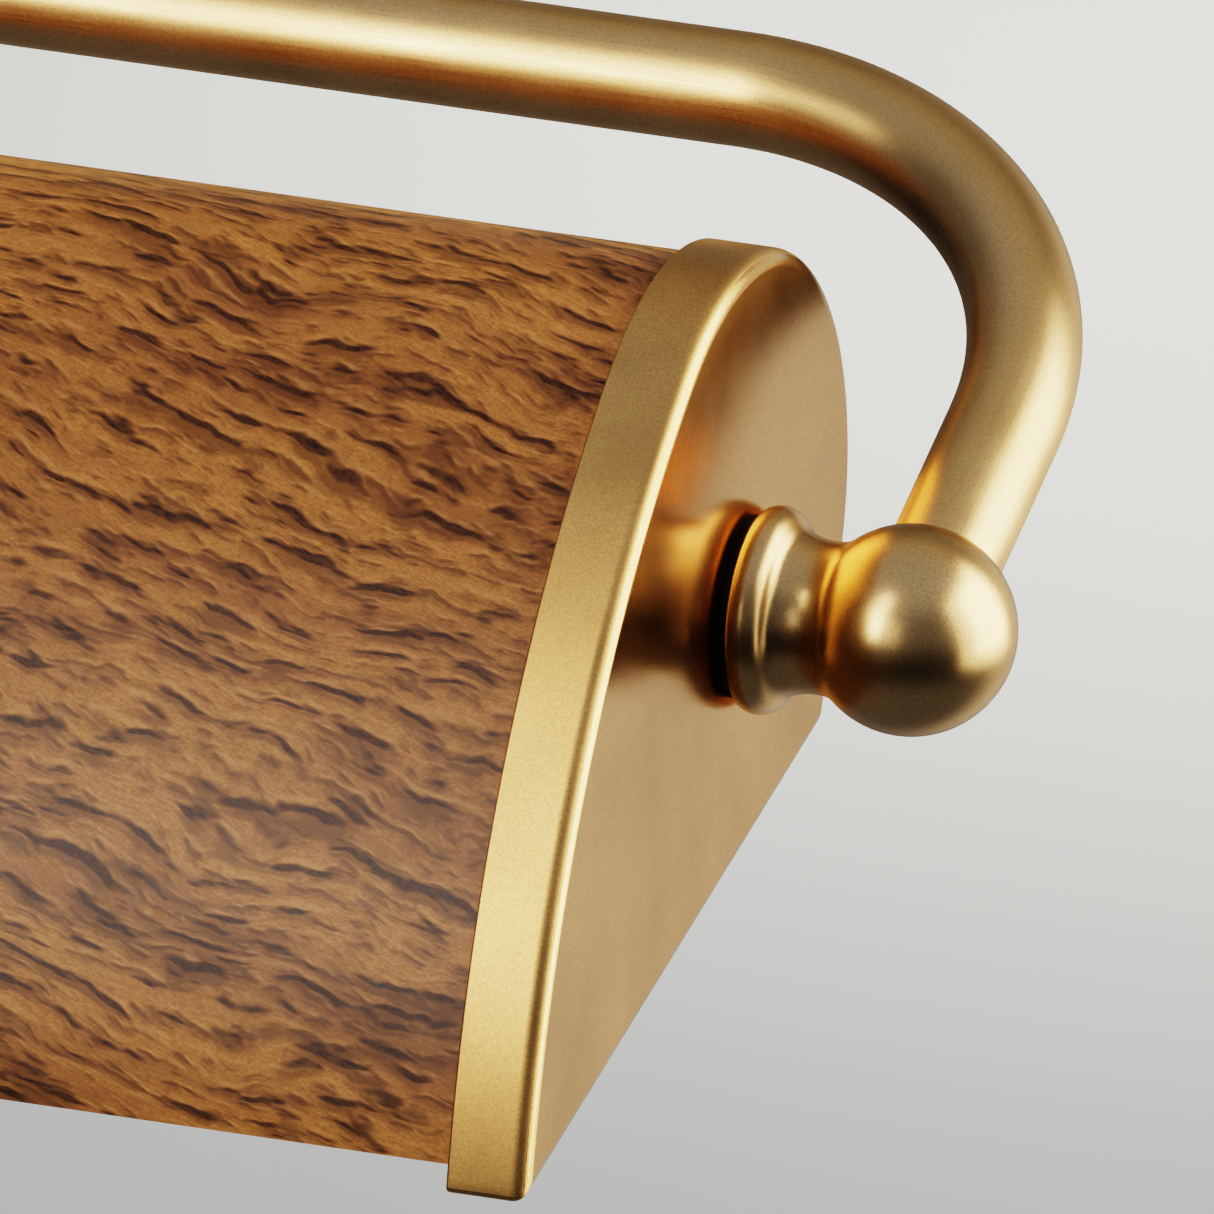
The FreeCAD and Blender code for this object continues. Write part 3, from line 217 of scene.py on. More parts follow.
def put(tree, socket, value):
    """Link an output to the socket, or set the socket to a value."""
    if isinstance(value, bpy.types.NodeSocket):
        tree.links.new(value, socket)
    elif isinstance(value, tuple) and socket.type == "RGBA" and len(value) == 3:
        socket.default_value = (*value, 1)
    else:
        socket.default_value = value


def noise(tree, vector, scale, detail, roughness):
    """Cloudy pattern; scale is in features per metre, or 1 where stretch has already sized them."""
    made = node(tree, "ShaderNodeTexNoise", {"Vector": vector, "Scale": scale, "Detail": detail,
                                             "Roughness": roughness})
    return made.outputs["Fac"]


def stretch(tree, vector, size, turn, shift):
    """Coordinates turned about Z and divided by size, the length of one feature along each axis."""
    turned = node(tree, "ShaderNodeVectorRotate", {"Vector": vector, "Angle": radians(turn)},
                  rotation_type="Z_AXIS").outputs[0]
    scaled = node(tree, "ShaderNodeVectorMath", {0: turned, 1: tuple(1 / s for s in size)},
                  operation="MULTIPLY").outputs[0]
    return node(tree, "ShaderNodeVectorMath", {0: scaled, 1: shift}, operation="ADD").outputs[0]


def streaks(tree, place, size, turn, detail, roughness, shift=(0.0, 0.0)):
    """Noise with features of a size along the map's two directions, turned by an angle."""
    return noise(tree, stretch(tree, place, (*size, 1), turn, (*shift, 0)), 1, detail, roughness)


def smooth_step(tree, value, low, high, out_low=0.0, out_high=1.0):
    """Soft change from out_low to out_high as the value goes from low to high."""
    return node(tree, "ShaderNodeMapRange", {"Value": value, "From Min": low, "From Max": high,
                                             "To Min": out_low, "To Max": out_high},
                interpolation_type="SMOOTHSTEP").outputs["Result"]


def maths(tree, operation, first, second):
    return node(tree, "ShaderNodeMath", {0: first, 1: second}, operation=operation).outputs[0]


def mix(tree, factor, first, second):
    """Blend of two colours; a Mix node keeps its colour sockets at inputs 6 and 7 and output 2."""
    return node(tree, "ShaderNodeMix", {0: factor, 6: first, 7: second}, data_type="RGBA").outputs[2]


def bump(tree, height, strength, distance):
    return node(tree, "ShaderNodeBump", {"Height": height, "Strength": strength,
                                         "Distance": distance}).outputs["Normal"]


# ---------------------------------------------------------------- materials

def satin_brass(name, colours, smooth, rough, relief):
    """Lacquered brass with a fine sandy grain, smoother and rougher in small patches of wear."""
    material, tree, shader = new_material(name)
    worn, clean, dark = colours
    place = node(tree, "ShaderNodeTexCoord").outputs["Object"]
    clouds = noise(tree, place, scale=45, detail=4, roughness=0.55)
    grain = noise(tree, place, scale=4200, detail=2, roughness=0.6)
    wear = noise(tree, place, scale=90, detail=2, roughness=0.5)
    tone = mix(tree, smooth_step(tree, clouds, 0.3, 0.7), worn, clean)
    tone = mix(tree, smooth_step(tree, grain, 0.3, 0.75, 0.0, 0.55), tone, dark)
    put(tree, shader.inputs["Base Color"], tone)
    shader.inputs["Metallic"].default_value = 1.0
    put(tree, shader.inputs["Roughness"], smooth_step(tree, wear, 0.2, 0.8, smooth, rough))
    put(tree, shader.inputs["Normal"], bump(tree, grain, relief, 0.02 * MM))
    return material


def add_drawing_lines(material):
    """Fine lines along a drawn tube, which spread its highlights round it."""
    tree = material.node_tree
    shader = tree.nodes["Principled BSDF"]
    place = node(tree, "ShaderNodeUVMap").outputs["UV"]
    lines = streaks(tree, place, (0.25 * MM, 16 * MM), 0, detail=3, roughness=0.6)
    roughness = shader.inputs["Roughness"].links[0].from_socket
    put(tree, shader.inputs["Roughness"],
        maths(tree, "ADD", roughness, smooth_step(tree, lines, 0.3, 0.7, -0.03, 0.03)))
    shader.inputs["Anisotropic"].default_value = 0.72
    tangent = node(tree, "ShaderNodeTangent", direction_type="UV_MAP", uv_map="tube").outputs["Tangent"]
    put(tree, shader.inputs["Tangent"], tangent)


def plain_metal(name, colour, second, roughness):
    """Plated or bright metal in two close shades."""
    material, tree, shader = new_material(name)
    place = node(tree, "ShaderNodeTexCoord").outputs["Object"]
    clouds = noise(tree, place, scale=160, detail=4, roughness=0.6)
    grain = noise(tree, place, scale=3000, detail=2, roughness=0.6)
    put(tree, shader.inputs["Base Color"], mix(tree, smooth_step(tree, clouds, 0.35, 0.65), colour, second))
    shader.inputs["Metallic"].default_value = 1.0
    put(tree, shader.inputs["Roughness"],
        smooth_step(tree, clouds, 0.2, 0.8, roughness - 0.06, roughness + 0.06))
    put(tree, shader.inputs["Normal"], bump(tree, grain, 0.15, 0.02 * MM))
    return material


def moulded(name, colour, second, roughness, relief=0.1):
    """Plastic, rubber, fibre or enamel in two close shades."""
    material, tree, shader = new_material(name)
    place = node(tree, "ShaderNodeTexCoord").outputs["Object"]
    clouds = noise(tree, place, scale=90, detail=3, roughness=0.5)
    grain = noise(tree, place, scale=4200, detail=2, roughness=0.5)
    put(tree, shader.inputs["Base Color"], mix(tree, smooth_step(tree, clouds, 0.3, 0.7), colour, second))
    put(tree, shader.inputs["Roughness"],
        smooth_step(tree, grain, 0.2, 0.8, roughness - 0.05, roughness + 0.05))
    put(tree, shader.inputs["Normal"], bump(tree, grain, relief, 0.03 * MM))
    return material


def wavy(tree, place):
    """The sheet's map pushed up and down, so that straight streaks become a wavy grain."""
    swell = maths(tree, "SUBTRACT", streaks(tree, place, (28 * MM, 20 * MM), 0, 1, 0.5), 0.5)
    ripple = maths(tree, "SUBTRACT", streaks(tree, place, (5 * MM, 4 * MM), 0, 2, 0.5), 0.5)
    shift = maths(tree, "ADD", maths(tree, "MULTIPLY", swell, GRAIN_SWELL),
                  maths(tree, "MULTIPLY", ripple, GRAIN_RIPPLE))
    bend = node(tree, "ShaderNodeCombineXYZ", {"Y": shift}).outputs[0]
    return node(tree, "ShaderNodeVectorMath", {0: place, 1: bend}, operation="ADD").outputs[0]


def fleck_layer(tree, flow, crowd, size, turn, shift):
    """Darkness of one layer of printed flecks, with painted shade along their upper edges and a painted soft
    shadow below them, and the brightness of the painted highlight lines over their upper edges.
    """
    across, up = shift
    body = streaks(tree, flow, size, turn, 2, 0.45, (across, up))
    over = streaks(tree, flow, size, turn, 2, 0.45, (across, up - FLECK_SHADOW))
    under = streaks(tree, flow, size, turn, 2, 0.45, (across, up + FLECK_LIGHT))
    # painted shade: each fleck darker along its upper edge than along its lower one
    shaded = smooth_step(tree, maths(tree, "SUBTRACT", body, over), -0.06, 0.10, 0.45, 1.0)
    crisp = smooth_step(tree, maths(tree, "ADD", body, crowd), 0.495, 0.655)
    # painted soft shadow: the fleck's dark spread downwards below it
    soft = smooth_step(tree, maths(tree, "ADD", over, crowd), 0.50, 0.70, 0.0, 0.55)
    # painted highlight line just above each fleck's upper edge
    lit = smooth_step(tree, maths(tree, "SUBTRACT", under, body), 0.05, 0.16)
    return maths(tree, "MAXIMUM", maths(tree, "MULTIPLY", crisp, shaded), soft), lit


def wood_film():
    """Printed wood effect: short dark flecks that run down to the right along a wavy grain, each with a crisp
    upper edge in painted shade, a painted soft shadow below and a painted highlight line above, over an ochre
    ground with brown bands and a fine weave."""
    material, tree, shader = new_material("wood_effect_sheet")
    place = node(tree, "ShaderNodeUVMap").outputs["UV"]
    flow = wavy(tree, place)
    bands = streaks(tree, flow, (48 * MM, 9 * MM), -8, 3, 0.55)
    lines = streaks(tree, flow, (24 * MM, 1.9 * MM), -10, 2, 0.5, (2.7, 9.4))
    fibres = streaks(tree, flow, (1.5 * MM, 0.30 * MM), -15, 2, 0.6)
    hatch = streaks(tree, place, (0.7 * MM, 0.18 * MM), -32, 2, 0.7)
    weave = streaks(tree, place, (0.6 * MM, 0.20 * MM), 24, 2, 0.6)

    crowd = maths(tree, "ADD", smooth_step(tree, bands, 0.32, 0.68, -0.03, 0.03),
                  smooth_step(tree, lines, 0.30, 0.70, -0.09, 0.105))
    long_flecks, long_painted_highlights = fleck_layer(tree, flow, crowd, *LONG_FLECKS)
    short_flecks, short_painted_highlights = fleck_layer(tree, flow, crowd, *SHORT_FLECKS)
    dark = maths(tree, "MAXIMUM", long_flecks, maths(tree, "MULTIPLY", short_flecks, SHORT_FLECK_SHARE))
    painted_highlight = maths(tree, "MAXIMUM", long_painted_highlights, short_painted_highlights)

    ground = GROUND_LIGHT
    for pattern, low, high, share in ((bands, 0.40, 0.72, 0.70), (fibres, 0.35, 0.75, 0.35),
                                      (hatch, 0.35, 0.70, 0.50), (weave, 0.40, 0.70, 0.35)):
        ground = mix(tree, smooth_step(tree, pattern, low, high, 0.0, share), ground, GROUND_BROWN)
    # painted highlight lines lighten the ground above the flecks
    ground = mix(tree, maths(tree, "MULTIPLY", painted_highlight, 0.28), ground, PAINTED_HIGHLIGHT_COLOUR)
    print_grain = smooth_step(tree, maths(tree, "ADD", fibres, hatch), 0.7, 1.3, 1.0, 0.72)
    put(tree, shader.inputs["Base Color"],
        mix(tree, maths(tree, "MULTIPLY", dark, print_grain), ground, FLECK))
    put(tree, shader.inputs["Roughness"], smooth_step(tree, fibres, 0.2, 0.8, 0.31, 0.38))
    shader.inputs["Specular IOR Level"].default_value = 0.36
    put(tree, shader.inputs["Normal"], bump(tree, hatch, 0.25, 0.02 * MM))
    return material


def opal_glass():
    """Glossy white lamp glass."""
    material, tree, shader = new_material("opal_glass")
    place = node(tree, "ShaderNodeTexCoord").outputs["Object"]
    clouds = noise(tree, place, scale=60, detail=2, roughness=0.5)
    put(tree, shader.inputs["Base Color"], mix(tree, clouds, (0.90, 0.89, 0.85), (0.97, 0.96, 0.93)))
    put(tree, shader.inputs["Roughness"], smooth_step(tree, clouds, 0.2, 0.8, 0.08, 0.16))
    shader.inputs["Coat Weight"].default_value = 0.5
    return material


MATERIALS = {
    "satin_brass": satin_brass("satin_brass", ROD_BRASS, 0.23, 0.29, 0.20),
    "wood_effect_sheet": wood_film(),
    "plated_steel": plain_metal("plated_steel", (0.62, 0.62, 0.58), (0.50, 0.51, 0.50), 0.32),
    "black_fibre": moulded("black_fibre", (0.02, 0.02, 0.02), (0.035, 0.033, 0.03), 0.75, 0.5),
    "holder_plastic": moulded("holder_plastic", (0.78, 0.76, 0.70), (0.84, 0.82, 0.76), 0.38),
    "terminal_plastic": moulded("terminal_plastic", (0.74, 0.74, 0.70), (0.80, 0.80, 0.76), 0.45),
    "lead_sheath": moulded("lead_sheath", (0.05, 0.05, 0.05), (0.07, 0.07, 0.068), 0.5),
    "opal_glass": opal_glass(),
    "lamp_cap_metal": plain_metal("lamp_cap_metal", (0.75, 0.74, 0.70), (0.66, 0.65, 0.62), 0.24),
}
PRESSED_BRASS = satin_brass("pressed_brass", SHEET_BRASS, 0.35, 0.43, 0.32)
FACED_BRASS = satin_brass("faced_brass", SHEET_BRASS, 0.15, 0.20, 0.45)
TURNED_BRASS = satin_brass("turned_brass", ROD_BRASS, 0.25, 0.30, 0.25)
DRAWN_BRASS = satin_brass("drawn_brass", ROD_BRASS, 0.28, 0.33, 0.15)
add_drawing_lines(DRAWN_BRASS)
ENAMEL = moulded("white_enamel", (0.80, 0.79, 0.76), (0.84, 0.83, 0.80), 0.3, 0.05)


def finish_cad_nodes():
    """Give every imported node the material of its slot."""
    for part in frame["record"]["subparts"]:
        piece = frame["nodes"][part["node"]]
        piece.data.materials.clear()
        piece.data.materials.append(MATERIALS[part["material_slot"]])


# ---------------------------------------------------------------- mesh helpers

def arc(centre, radius, start, end, steps):
    """Points from one angle to another round a centre, both ends included."""
    angles = [radians(start + (end - start) * step / steps) for step in range(steps + 1)]
    return [(centre[0] + radius * cos(a), centre[1] + radius * sin(a)) for a in angles]


def curve_to(start, end, radius, side):
    """Points after start along the shorter arc to end; its centre lies left (1) or right (-1) of the way."""
    along, across = end[0] - start[0], end[1] - start[1]
    chord = hypot(along, across)
    reach = side * sqrt(max(radius ** 2 - chord ** 2 / 4, 0)) / chord
    centre = ((start[0] + end[0]) / 2 - across * reach, (start[1] + end[1]) / 2 + along * reach)
    first = atan2(start[1] - centre[1], start[0] - centre[0])
    last = atan2(end[1] - centre[1], end[0] - centre[0])
    sweep = (last - first + pi) % (2 * pi) - pi
    steps = ceil(abs(sweep) * radius / TURNING_STEP)
    return arc(centre, radius, degrees(first), degrees(first + sweep), steps)[1:]


def loft(build, rings, material=0):
    """Faces between neighbouring closed rings of points."""
    made = [[build.verts.new(point) for point in ring] for ring in rings]
    for ring, following in zip(made, made[1:]):
        for number in range(len(ring)):
            after = (number + 1) % len(ring)
            face = build.faces.new((ring[number], ring[after], following[after], following[number]))
            face.smooth = True
            face.material_index = material


def finish_piece(build, name, materials, body, node_name):
    """Make an object of the mesh, put it on its body and let it replace its CAD node."""
    bmesh.ops.remove_doubles(build, verts=build.verts, dist=WELD)
    bmesh.ops.recalc_face_normals(build, faces=build.faces)
    mesh = bpy.data.meshes.new(name)
    build.to_mesh(mesh)
    build.free()
    for material in materials:
        mesh.materials.append(material)
    mesh.set_sharp_from_angle(angle=radians(SHARP_ANGLE))
    piece = bpy.data.objects.new(name, mesh)
    bpy.context.scene.collection.objects.link(piece)
    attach(piece, body)
    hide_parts(node_name)


# ---------------------------------------------------------------- shade sheet and end caps

def front_centre():
    """Centre of the front arc, which meets the rear one smoothly at the shoulder."""
    a = radians(SHOULDER_ANGLE)
    reach = REAR_RADIUS - FRONT_RADIUS
    return REAR_CENTRE[0] + reach * cos(a), REAR_CENTRE[1] + reach * sin(a)


def rear_corner(inset, mouth):
    """Where the rear flat meets the mouth, the mouth lying at a distance from the pivot axis."""
    tilt, flat = radians(MOUTH_TILT), radians(FLAT_ANGLE)
    normal, down = (-sin(tilt), cos(tilt)), (sin(flat), -cos(flat))
    radius = REAR_RADIUS - inset
    top = (REAR_CENTRE[0] + radius * cos(flat), REAR_CENTRE[1] + radius * sin(flat))
    drop = (-mouth - normal[0] * top[0] - normal[1] * top[1]) / (normal[0] * down[0] + normal[1] * down[1])
    return top[0] + down[0] * drop, top[1] + down[1] * drop


def front_tip(inset, mouth):
    """Where the front arc meets the mouth."""
    tilt = radians(MOUTH_TILT)
    fy, fz = front_centre()
    level = -mouth + sin(tilt) * fy - cos(tilt) * fz
    reach = sqrt((FRONT_RADIUS - inset) ** 2 - level ** 2)
    return fy - sin(tilt) * level - cos(tilt) * reach, fz + cos(tilt) * level - sin(tilt) * reach


def front_angle(point):
    """Angle of a point as seen from the front arc's centre."""
    fy, fz = front_centre()
    return degrees(atan2(point[1] - fz, point[0] - fy)) % 360


def over_the_top(inset, end, steps):
    """The rear and front arcs from the rear flat to an angle on the front arc."""
    return (arc(REAR_CENTRE, REAR_RADIUS - inset, FLAT_ANGLE, SHOULDER_ANGLE, steps)
            + arc(front_centre(), FRONT_RADIUS - inset, SHOULDER_ANGLE, end, steps)[1:])


def sheet_line(inset):
    """Open outline of the sheet from its lower rear edge over the top to its front edge."""
    mouth = MOUTH_DISTANCE - SHEET_SETBACK
    end = front_angle(front_tip(inset, mouth))
    return [rear_corner(inset, mouth)] + over_the_top(inset, end, SHEET_ARC_STEPS)


def cap_outline(inset):
    """Closed outline of the end cap with its two lower corners rounded."""
    rear_round = max(REAR_CORNER - inset, LEAST_CORNER)
    tip_round = max(TIP_CORNER - inset, LEAST_CORNER)
    corner = rear_corner(inset + rear_round, MOUTH_DISTANCE - inset - rear_round)
    tip = front_tip(inset + tip_round, MOUTH_DISTANCE - inset - tip_round)
    below = MOUTH_TILT - 90
    points = arc(corner, rear_round, below, FLAT_ANGLE, CORNER_STEPS)
    points += over_the_top(inset, front_angle(tip), CAP_ARC_STEPS)
    points += arc(tip, tip_round, front_angle(tip), 360 + below, CORNER_STEPS)[1:]
    last, first = points[-1], points[0]
    for step in range(1, MOUTH_STEPS):
        share = step / MOUTH_STEPS
        points.append((last[0] + (first[0] - last[0]) * share, last[1] + (first[1] - last[1]) * share))
    return points


def sheet_rows(build, line):
    """Rows of vertices along X, one row for each point of the sheet's section."""
    low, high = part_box("shade_shell")
    places = [low.x + (high.x - low.x) * step / SHEET_COLUMNS for step in range(SHEET_COLUMNS + 1)]
    return [[build.verts.new((x, PIVOT.y + y, PIVOT.z + z)) for x in places] for y, z in line]


def lengths_along(line):
    """Distance from a line's first point, along it, to each of its points."""
    travelled = [0.0]
    for (y0, z0), (y1, z1) in zip(line, line[1:]):
        travelled.append(travelled[-1] + hypot(y1 - y0, z1 - z0))
    return travelled


def roll_sheet(build, rows, levels, film_rows):
    """Faces all round the section, mapped in metres of sheet: film first, then enamel on edges and inside."""
    chart = build.loops.layers.uv.new("sheet")
    count = len(rows)
    for number in range(count):
        following = (number + 1) % count
        for step in range(SHEET_COLUMNS):
            face = build.faces.new((rows[number][step], rows[number][step + 1],
                                    rows[following][step + 1], rows[following][step]))
            face.smooth = number not in (film_rows, count - 1)
            face.material_index = 0 if number < film_rows else 1
            corner_levels = (levels[number], levels[number], levels[following], levels[following])
            for loop, level in zip(face.loops, corner_levels):
                loop[chart].uv = (loop.vert.co.x, level)


def close_sheet_ends(build, rows, film_rows):
    """Narrow faces across the sheet's thickness at its left and right ends."""
    count = len(rows)
    for step in (0, SHEET_COLUMNS):
        for number in range(film_rows):
            face = build.faces.new((rows[number][step], rows[number + 1][step],
                                    rows[count - 2 - number][step], rows[count - 1 - number][step]))
            face.smooth = False
            face.material_index = 1


def shade_sheet():
    """The rolled sheet: printed film outside, white enamel inside."""
    outer = sheet_line(CAP_SKIRT + SHEET_GAP)
    inner = sheet_line(CAP_SKIRT + SHEET_GAP + SHEET_THICKNESS)
    film_rows = len(outer) - 1
    levels = lengths_along(outer)
    levels += levels[::-1]
    build = bmesh.new()
    rows = sheet_rows(build, outer + inner[::-1])
    roll_sheet(build, rows, levels, film_rows)
    close_sheet_ends(build, rows, film_rows)
    finish_piece(build, "shade_sheet", (MATERIALS["wood_effect_sheet"], ENAMEL), "shade", "shade_shell")


def end_cap(side_name, side):
    """Pressed cap: rim with a rolled edge, softly rounded corner, flat face with the stud's hole.
    The rim is pressed brass, and from halfway round the corner the face is faced brass."""
    def ring(depth, inset):
        return [(side * (CAP_FACE - depth), PIVOT.y + y, PIVOT.z + z) for y, z in cap_outline(inset)]

    def hole(depth):
        angles = [atan2(z, y) for y, z in cap_outline(CAP_EDGE)]
        return [(side * (CAP_FACE - depth), PIVOT.y + STUD_HOLE * cos(a), PIVOT.z + STUD_HOLE * sin(a))
                for a in angles]

    rim = [(CAP_RIM, CAP_SKIRT), (CAP_RIM, RIM_ROLL)]
    rim += [(CAP_RIM - RIM_ROLL * share, RIM_ROLL * (1 - share) ** 2) for share in (0.3, 0.6, 1.0)]
    rim += [(CAP_RIM - RIM_ROLL - EDGE_STRIP, 0), (CAP_EDGE + EDGE_STRIP, 0)]
    turn = []
    for a in range(0, 90 + EDGE_TURN, EDGE_TURN):
        turn.append((CAP_EDGE - CAP_EDGE * sin(radians(a)), CAP_EDGE * (1 - cos(radians(a)))))
    middle = len(turn) // 2
    face = [ring(*step) for step in turn[middle:]] + [ring(0, CAP_EDGE + EDGE_STRIP), hole(0)]
    build = bmesh.new()
    loft(build, [ring(*step) for step in rim + turn[:middle + 1]])
    loft(build, face, material=1)
    loft(build, [hole(0), hole(CAP_THICKNESS), ring(CAP_THICKNESS, CAP_SKIRT), ring(CAP_RIM, CAP_SKIRT)])
    finish_piece(build, f"cap_{side_name}", (PRESSED_BRASS, FACED_BRASS), "shade", f"end_cap_{side_name}")


# ---------------------------------------------------------------- yoke and knuckles

def yoke_path():
    """Middle of the tube from the right leg's foot to the left one's, in the yoke's own plane."""
    leg = CAP_FACE + BALL_CENTRE
    bend = (leg - BEND_RADIUS, BAR_DISTANCE - BEND_RADIUS)
    half = [(leg, LEG_START), (leg, bend[1] / 2)] + arc(bend, BEND_RADIUS, 0, 90, BEND_STEPS)
    half += [(bend[0] * share, BAR_DISTANCE) for share in (0.8, 0.6, 0.4, 0.2, 0.0)]
    return [Vector((x, d, 0)) for x, d in half] + [Vector((-x, d, 0)) for x, d in half[-2::-1]]


def tube_rings(build, path, radius, around):
    """Rings of vertices square to the path, raised to the arm's slope, each with its distance along it."""
    slope = radians(ARM_SLOPE)
    lift = Vector((0, -sin(slope), cos(slope)))
    travelled = 0.0
    rings = []
    for number, point in enumerate(path):
        before, after = path[max(number - 1, 0)], path[min(number + 1, len(path) - 1)]
        along = (after - before).normalized()
        outward = Vector((along.y, -along.x, 0))
        travelled += (point - before).length
        ring = []
        for a in around[:-1]:
            flat = point + outward * radius * cos(a)
            raised = Vector((flat.x, flat.y * cos(slope), flat.y * sin(slope)))
            ring.append(build.verts.new(PIVOT + raised + lift * radius * sin(a)))
        rings.append((travelled, ring))
    return rings


def tube_wall(build, chart, path, radius):
    """Faces of one wall of the tube, mapped round it and then along it; returns its two end rings."""
    around = [2 * pi * step / TUBE_SIDES for step in range(TUBE_SIDES + 1)]
    rings = tube_rings(build, path, radius, around)
    for (start, ring), (end, following) in zip(rings, rings[1:]):
        for number, (a, b) in enumerate(zip(around, around[1:])):
            after = (number + 1) % len(ring)
            face = build.faces.new((ring[number], ring[after], following[after], following[number]))
            face.smooth = True
            corners = ((a, start), (b, start), (b, end), (a, end))
            for loop, (angle, distance) in zip(face.loops, corners):
                loop[chart].uv = (angle * TUBE_RADIUS, distance)
    return rings[0][1], rings[-1][1]


def yoke():
    """Bent tube, leg to leg; its map lets the drawing lines spread highlights round the tube."""
    path = yoke_path()
    build = bmesh.new()
    chart = build.loops.layers.uv.new("tube")
    outer_ends = tube_wall(build, chart, path, TUBE_RADIUS)
    inner_ends = tube_wall(build, chart, path, TUBE_BORE)
    for outer, inner in zip(outer_ends, inner_ends):
        for number in range(len(outer)):
            after = (number + 1) % len(outer)
            build.faces.new((outer[number], outer[after], inner[after], inner[number]))
    finish_piece(build, "bent_yoke", (DRAWN_BRASS,), "arm", "yoke_tube")


def knuckle_outline():
    """Turned outline from the bead to the ball's tip, as distance from the cap's face and radius; hand
    polishing has softened its creases."""
    neck_radius = sqrt(BALL_RADIUS ** 2 - (BALL_CENTRE - NECK_END) ** 2)
    turned = [BEAD_START]
    turned += curve_to(turned[-1], BEAD_CREST, BEAD_FRONT_ROUND, -1)
    turned += curve_to(turned[-1], CREASE, BEAD_BACK_ROUND, -1)
    turned += curve_to(turned[-1], (NECK_END, neck_radius), NECK_SWEEP, 1)
    turned += curve_to(turned[-1], (BALL_CENTRE + BALL_RADIUS, 0), BALL_RADIUS, -1)
    outline = turned[:POLISH]
    for number in range(POLISH, len(turned) - POLISH):
        near = turned[number - POLISH:number + POLISH + 1]
        outline.append((sum(x for x, _ in near) / len(near), sum(r for _, r in near) / len(near)))
    return outline + turned[-POLISH:]


def knuckle(side_name, side):
    """Turned knuckle with a blind bore for the stud."""
    bore = [(STUD_SEAT, 0), (STUD_SEAT, STUD_RADIUS), (BEAD_START[0], STUD_RADIUS)]
    angles = [2 * pi * step / KNUCKLE_SIDES for step in range(KNUCKLE_SIDES)]
    build = bmesh.new()
    loft(build, [[(side * (CAP_FACE + x), PIVOT.y + r * cos(a), PIVOT.z + r * sin(a)) for a in angles]
                 for x, r in bore + knuckle_outline()])
    finish_piece(build, f"turned_knuckle_{side_name}", (TURNED_BRASS,), "arm",
                 f"knuckle_{side_name}")


# ---------------------------------------------------------------- stage, light and camera

def floor():
    """Wide pale floor well below the piece, which reflections don't show."""
    material, tree, shader = new_material("floor")
    place = node(tree, "ShaderNodeTexCoord").outputs["Object"]
    mottle = noise(tree, place, scale=9, detail=3, roughness=0.5)
    put(tree, shader.inputs["Base Color"], mix(tree, mottle, *FLOOR_COLOURS))
    shader.inputs["Roughness"].default_value = 0.9
    shader.inputs["Specular IOR Level"].default_value = 0.1
    build = bmesh.new()
    bmesh.ops.create_circle(build, cap_ends=True, segments=96, radius=FLOOR_RADIUS)
    mesh = bpy.data.meshes.new("floor")
    build.to_mesh(mesh)
    build.free()
    mesh.materials.append(material)
    ground = bpy.data.objects.new("floor", mesh)
    ground.location = (0, 0, -FLOOR_DEPTH)
    bpy.context.scene.collection.objects.link(ground)
    ground.visible_glossy = False


def softbox(name, azimuth, elevation, distance, width, height, strength):
    """Rectangular soft light aimed at the right-hand pivot, hidden from the camera."""
    light = bpy.data.lights.new(name, "AREA")
    light.shape = "RECTANGLE"
    light.size = width
    light.size_y = height
    light.energy = strength * LIGHT_POWER * width * height
    holder = bpy.data.objects.new(name, light)
    target = PIVOT + Vector((CAP_FACE, 0, 0))
    holder.location = target + direction(azimuth, elevation) * distance
    holder.rotation_euler = facing(holder.location, target)
    holder.visible_camera = False
    bpy.context.scene.collection.objects.link(holder)


def floor_glow():
    """Soft pool of light on the floor behind the piece, thrown from below the piece's own level."""
    light = bpy.data.lights.new("floor_glow", "SPOT")
    light.energy = GLOW_POWER
    light.spot_size = radians(GLOW_CONE)
    light.spot_blend = 1.0
    light.shadow_soft_size = 0.05
    holder = bpy.data.objects.new("floor_glow", light)
    holder.location = (*GLOW_CENTRE, GLOW_HEIGHT - FLOOR_DEPTH)
    holder.visible_camera = False
    holder.visible_glossy = False
    bpy.context.scene.collection.objects.link(holder)


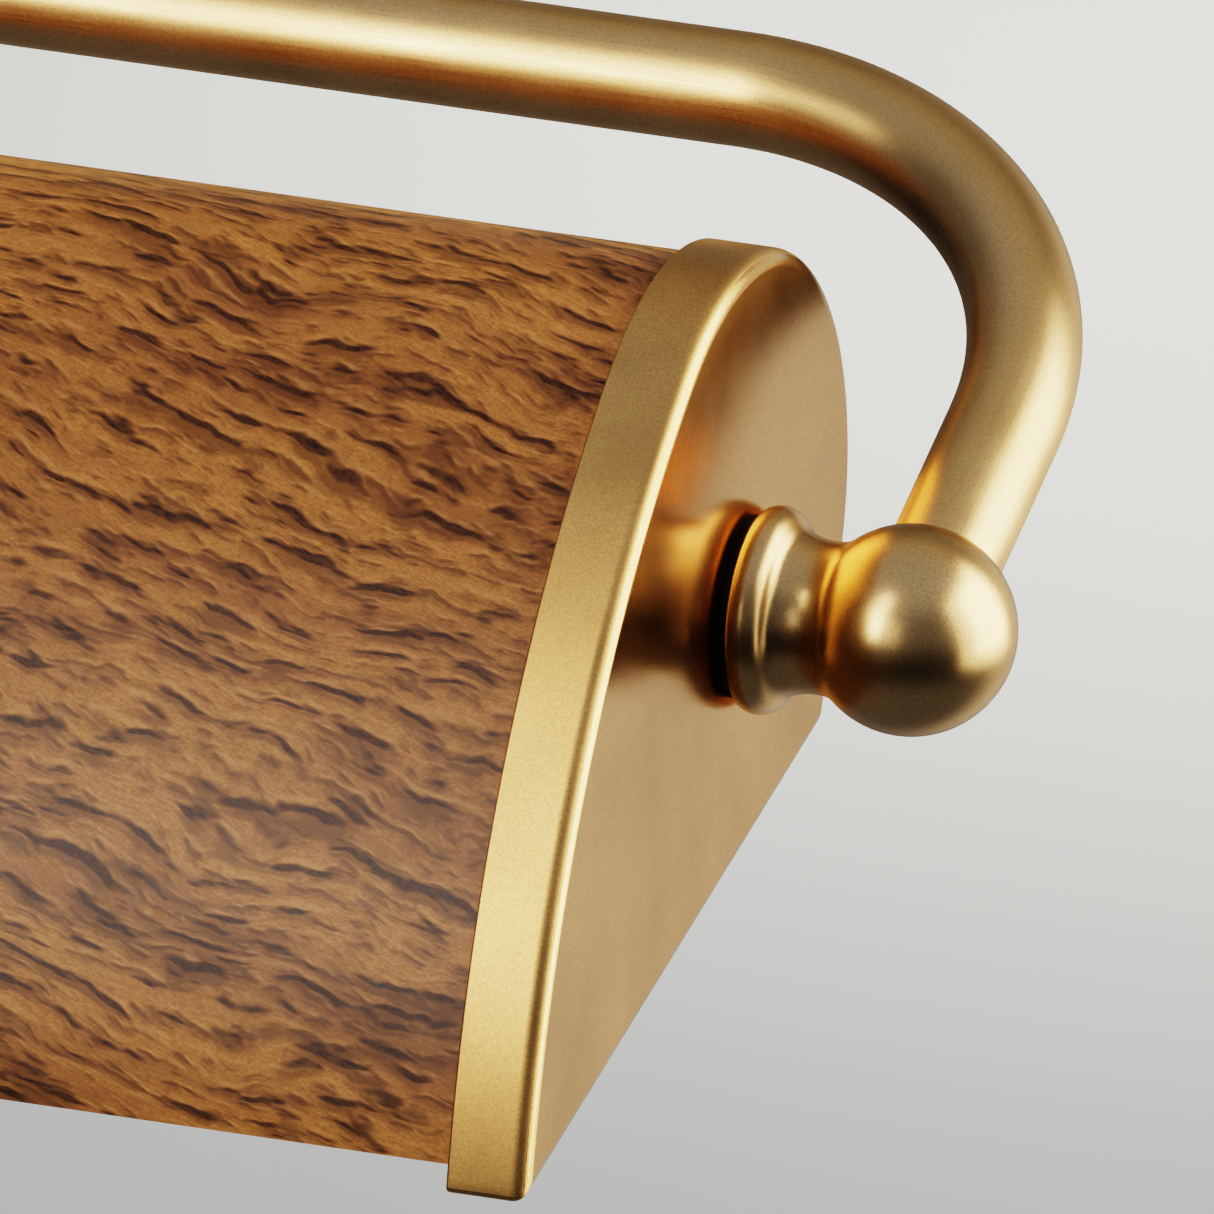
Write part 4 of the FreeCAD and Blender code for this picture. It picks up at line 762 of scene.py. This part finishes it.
def world():
    """Dim room, cool in front and darkest just below the level; paler straight down, overhead and low
    behind on the right. The camera sees it as plain pale grey."""
    scene_world = bpy.data.worlds.new("studio")
    scene_world.use_nodes = True
    bpy.context.scene.world = scene_world
    tree = scene_world.node_tree
    way = node(tree, "ShaderNodeTexCoord").outputs["Generated"]
    split = node(tree, "ShaderNodeSeparateXYZ", {0: way})
    x, y, z = (split.outputs[axis] for axis in "XYZ")
    front = smooth_step(tree, z, -0.32, 0.30, 0.026, 0.155)
    below = smooth_step(tree, z, -0.45, -0.80, 0.0, 0.100)
    overhead = smooth_step(tree, z, 0.45, 0.90, 0.0, 0.22)
    behind = maths(tree, "MULTIPLY", smooth_step(tree, y, 0.15, 0.80),
                   smooth_step(tree, z, -0.1, 0.55, 0.54, 0.03))
    behind = maths(tree, "MULTIPLY", behind, smooth_step(tree, x, -0.40, 0.25, 0.15, 1.0))
    room = maths(tree, "ADD", maths(tree, "ADD", front, below), maths(tree, "ADD", overhead, behind))
    tint = mix(tree, smooth_step(tree, y, 0.1, 0.7), COOL_ROOM, WARM_ROOM)
    seen = node(tree, "ShaderNodeLightPath").outputs["Is Camera Ray"]
    strength = node(tree, "ShaderNodeMix", {"Factor": seen, "A": room, "B": BACKDROP}).outputs["Result"]
    background = tree.nodes["Background"]
    put(tree, background.inputs["Color"], mix(tree, seen, tint, WARM_ROOM))
    put(tree, background.inputs["Strength"], strength)


def camera():
    """Distant camera, nearly parallel, aimed a little left of the right-hand pivot."""
    lens = bpy.data.cameras.new("camera")
    lens.sensor_width = SENSOR
    lens.sensor_height = SENSOR
    lens.lens = SENSOR / 2 / HALF_ANGLE
    lens.clip_end = FAR_CLIP
    holder = bpy.data.objects.new("camera", lens)
    back = direction(CAMERA_AZIMUTH, CAMERA_ELEVATION)
    right = Vector((cos(radians(CAMERA_AZIMUTH)), sin(radians(CAMERA_AZIMUTH)), 0))
    target = PIVOT + Vector((CAP_FACE, 0, 0)) - right * AIM_LEFT
    holder.location = target + back * (VIEW_HEIGHT / 2 / HALF_ANGLE)
    holder.rotation_euler = facing(holder.location, target)
    bpy.context.scene.collection.objects.link(holder)
    bpy.context.scene.camera = holder


def set_view():
    """Film-like tone curve with strong contrast, as in the photo."""
    view = bpy.context.scene.view_settings
    view.view_transform = "Filmic"
    view.look = "Very High Contrast"
    view.exposure = 0.0


finish_cad_nodes()
shade_sheet()
yoke()
for side_name, side in (("left", -1), ("right", 1)):
    end_cap(side_name, side)
    knuckle(side_name, side)
floor()
world()
for settings in SOFTBOXES:
    softbox(*settings)
floor_glow()
camera()
set_view()
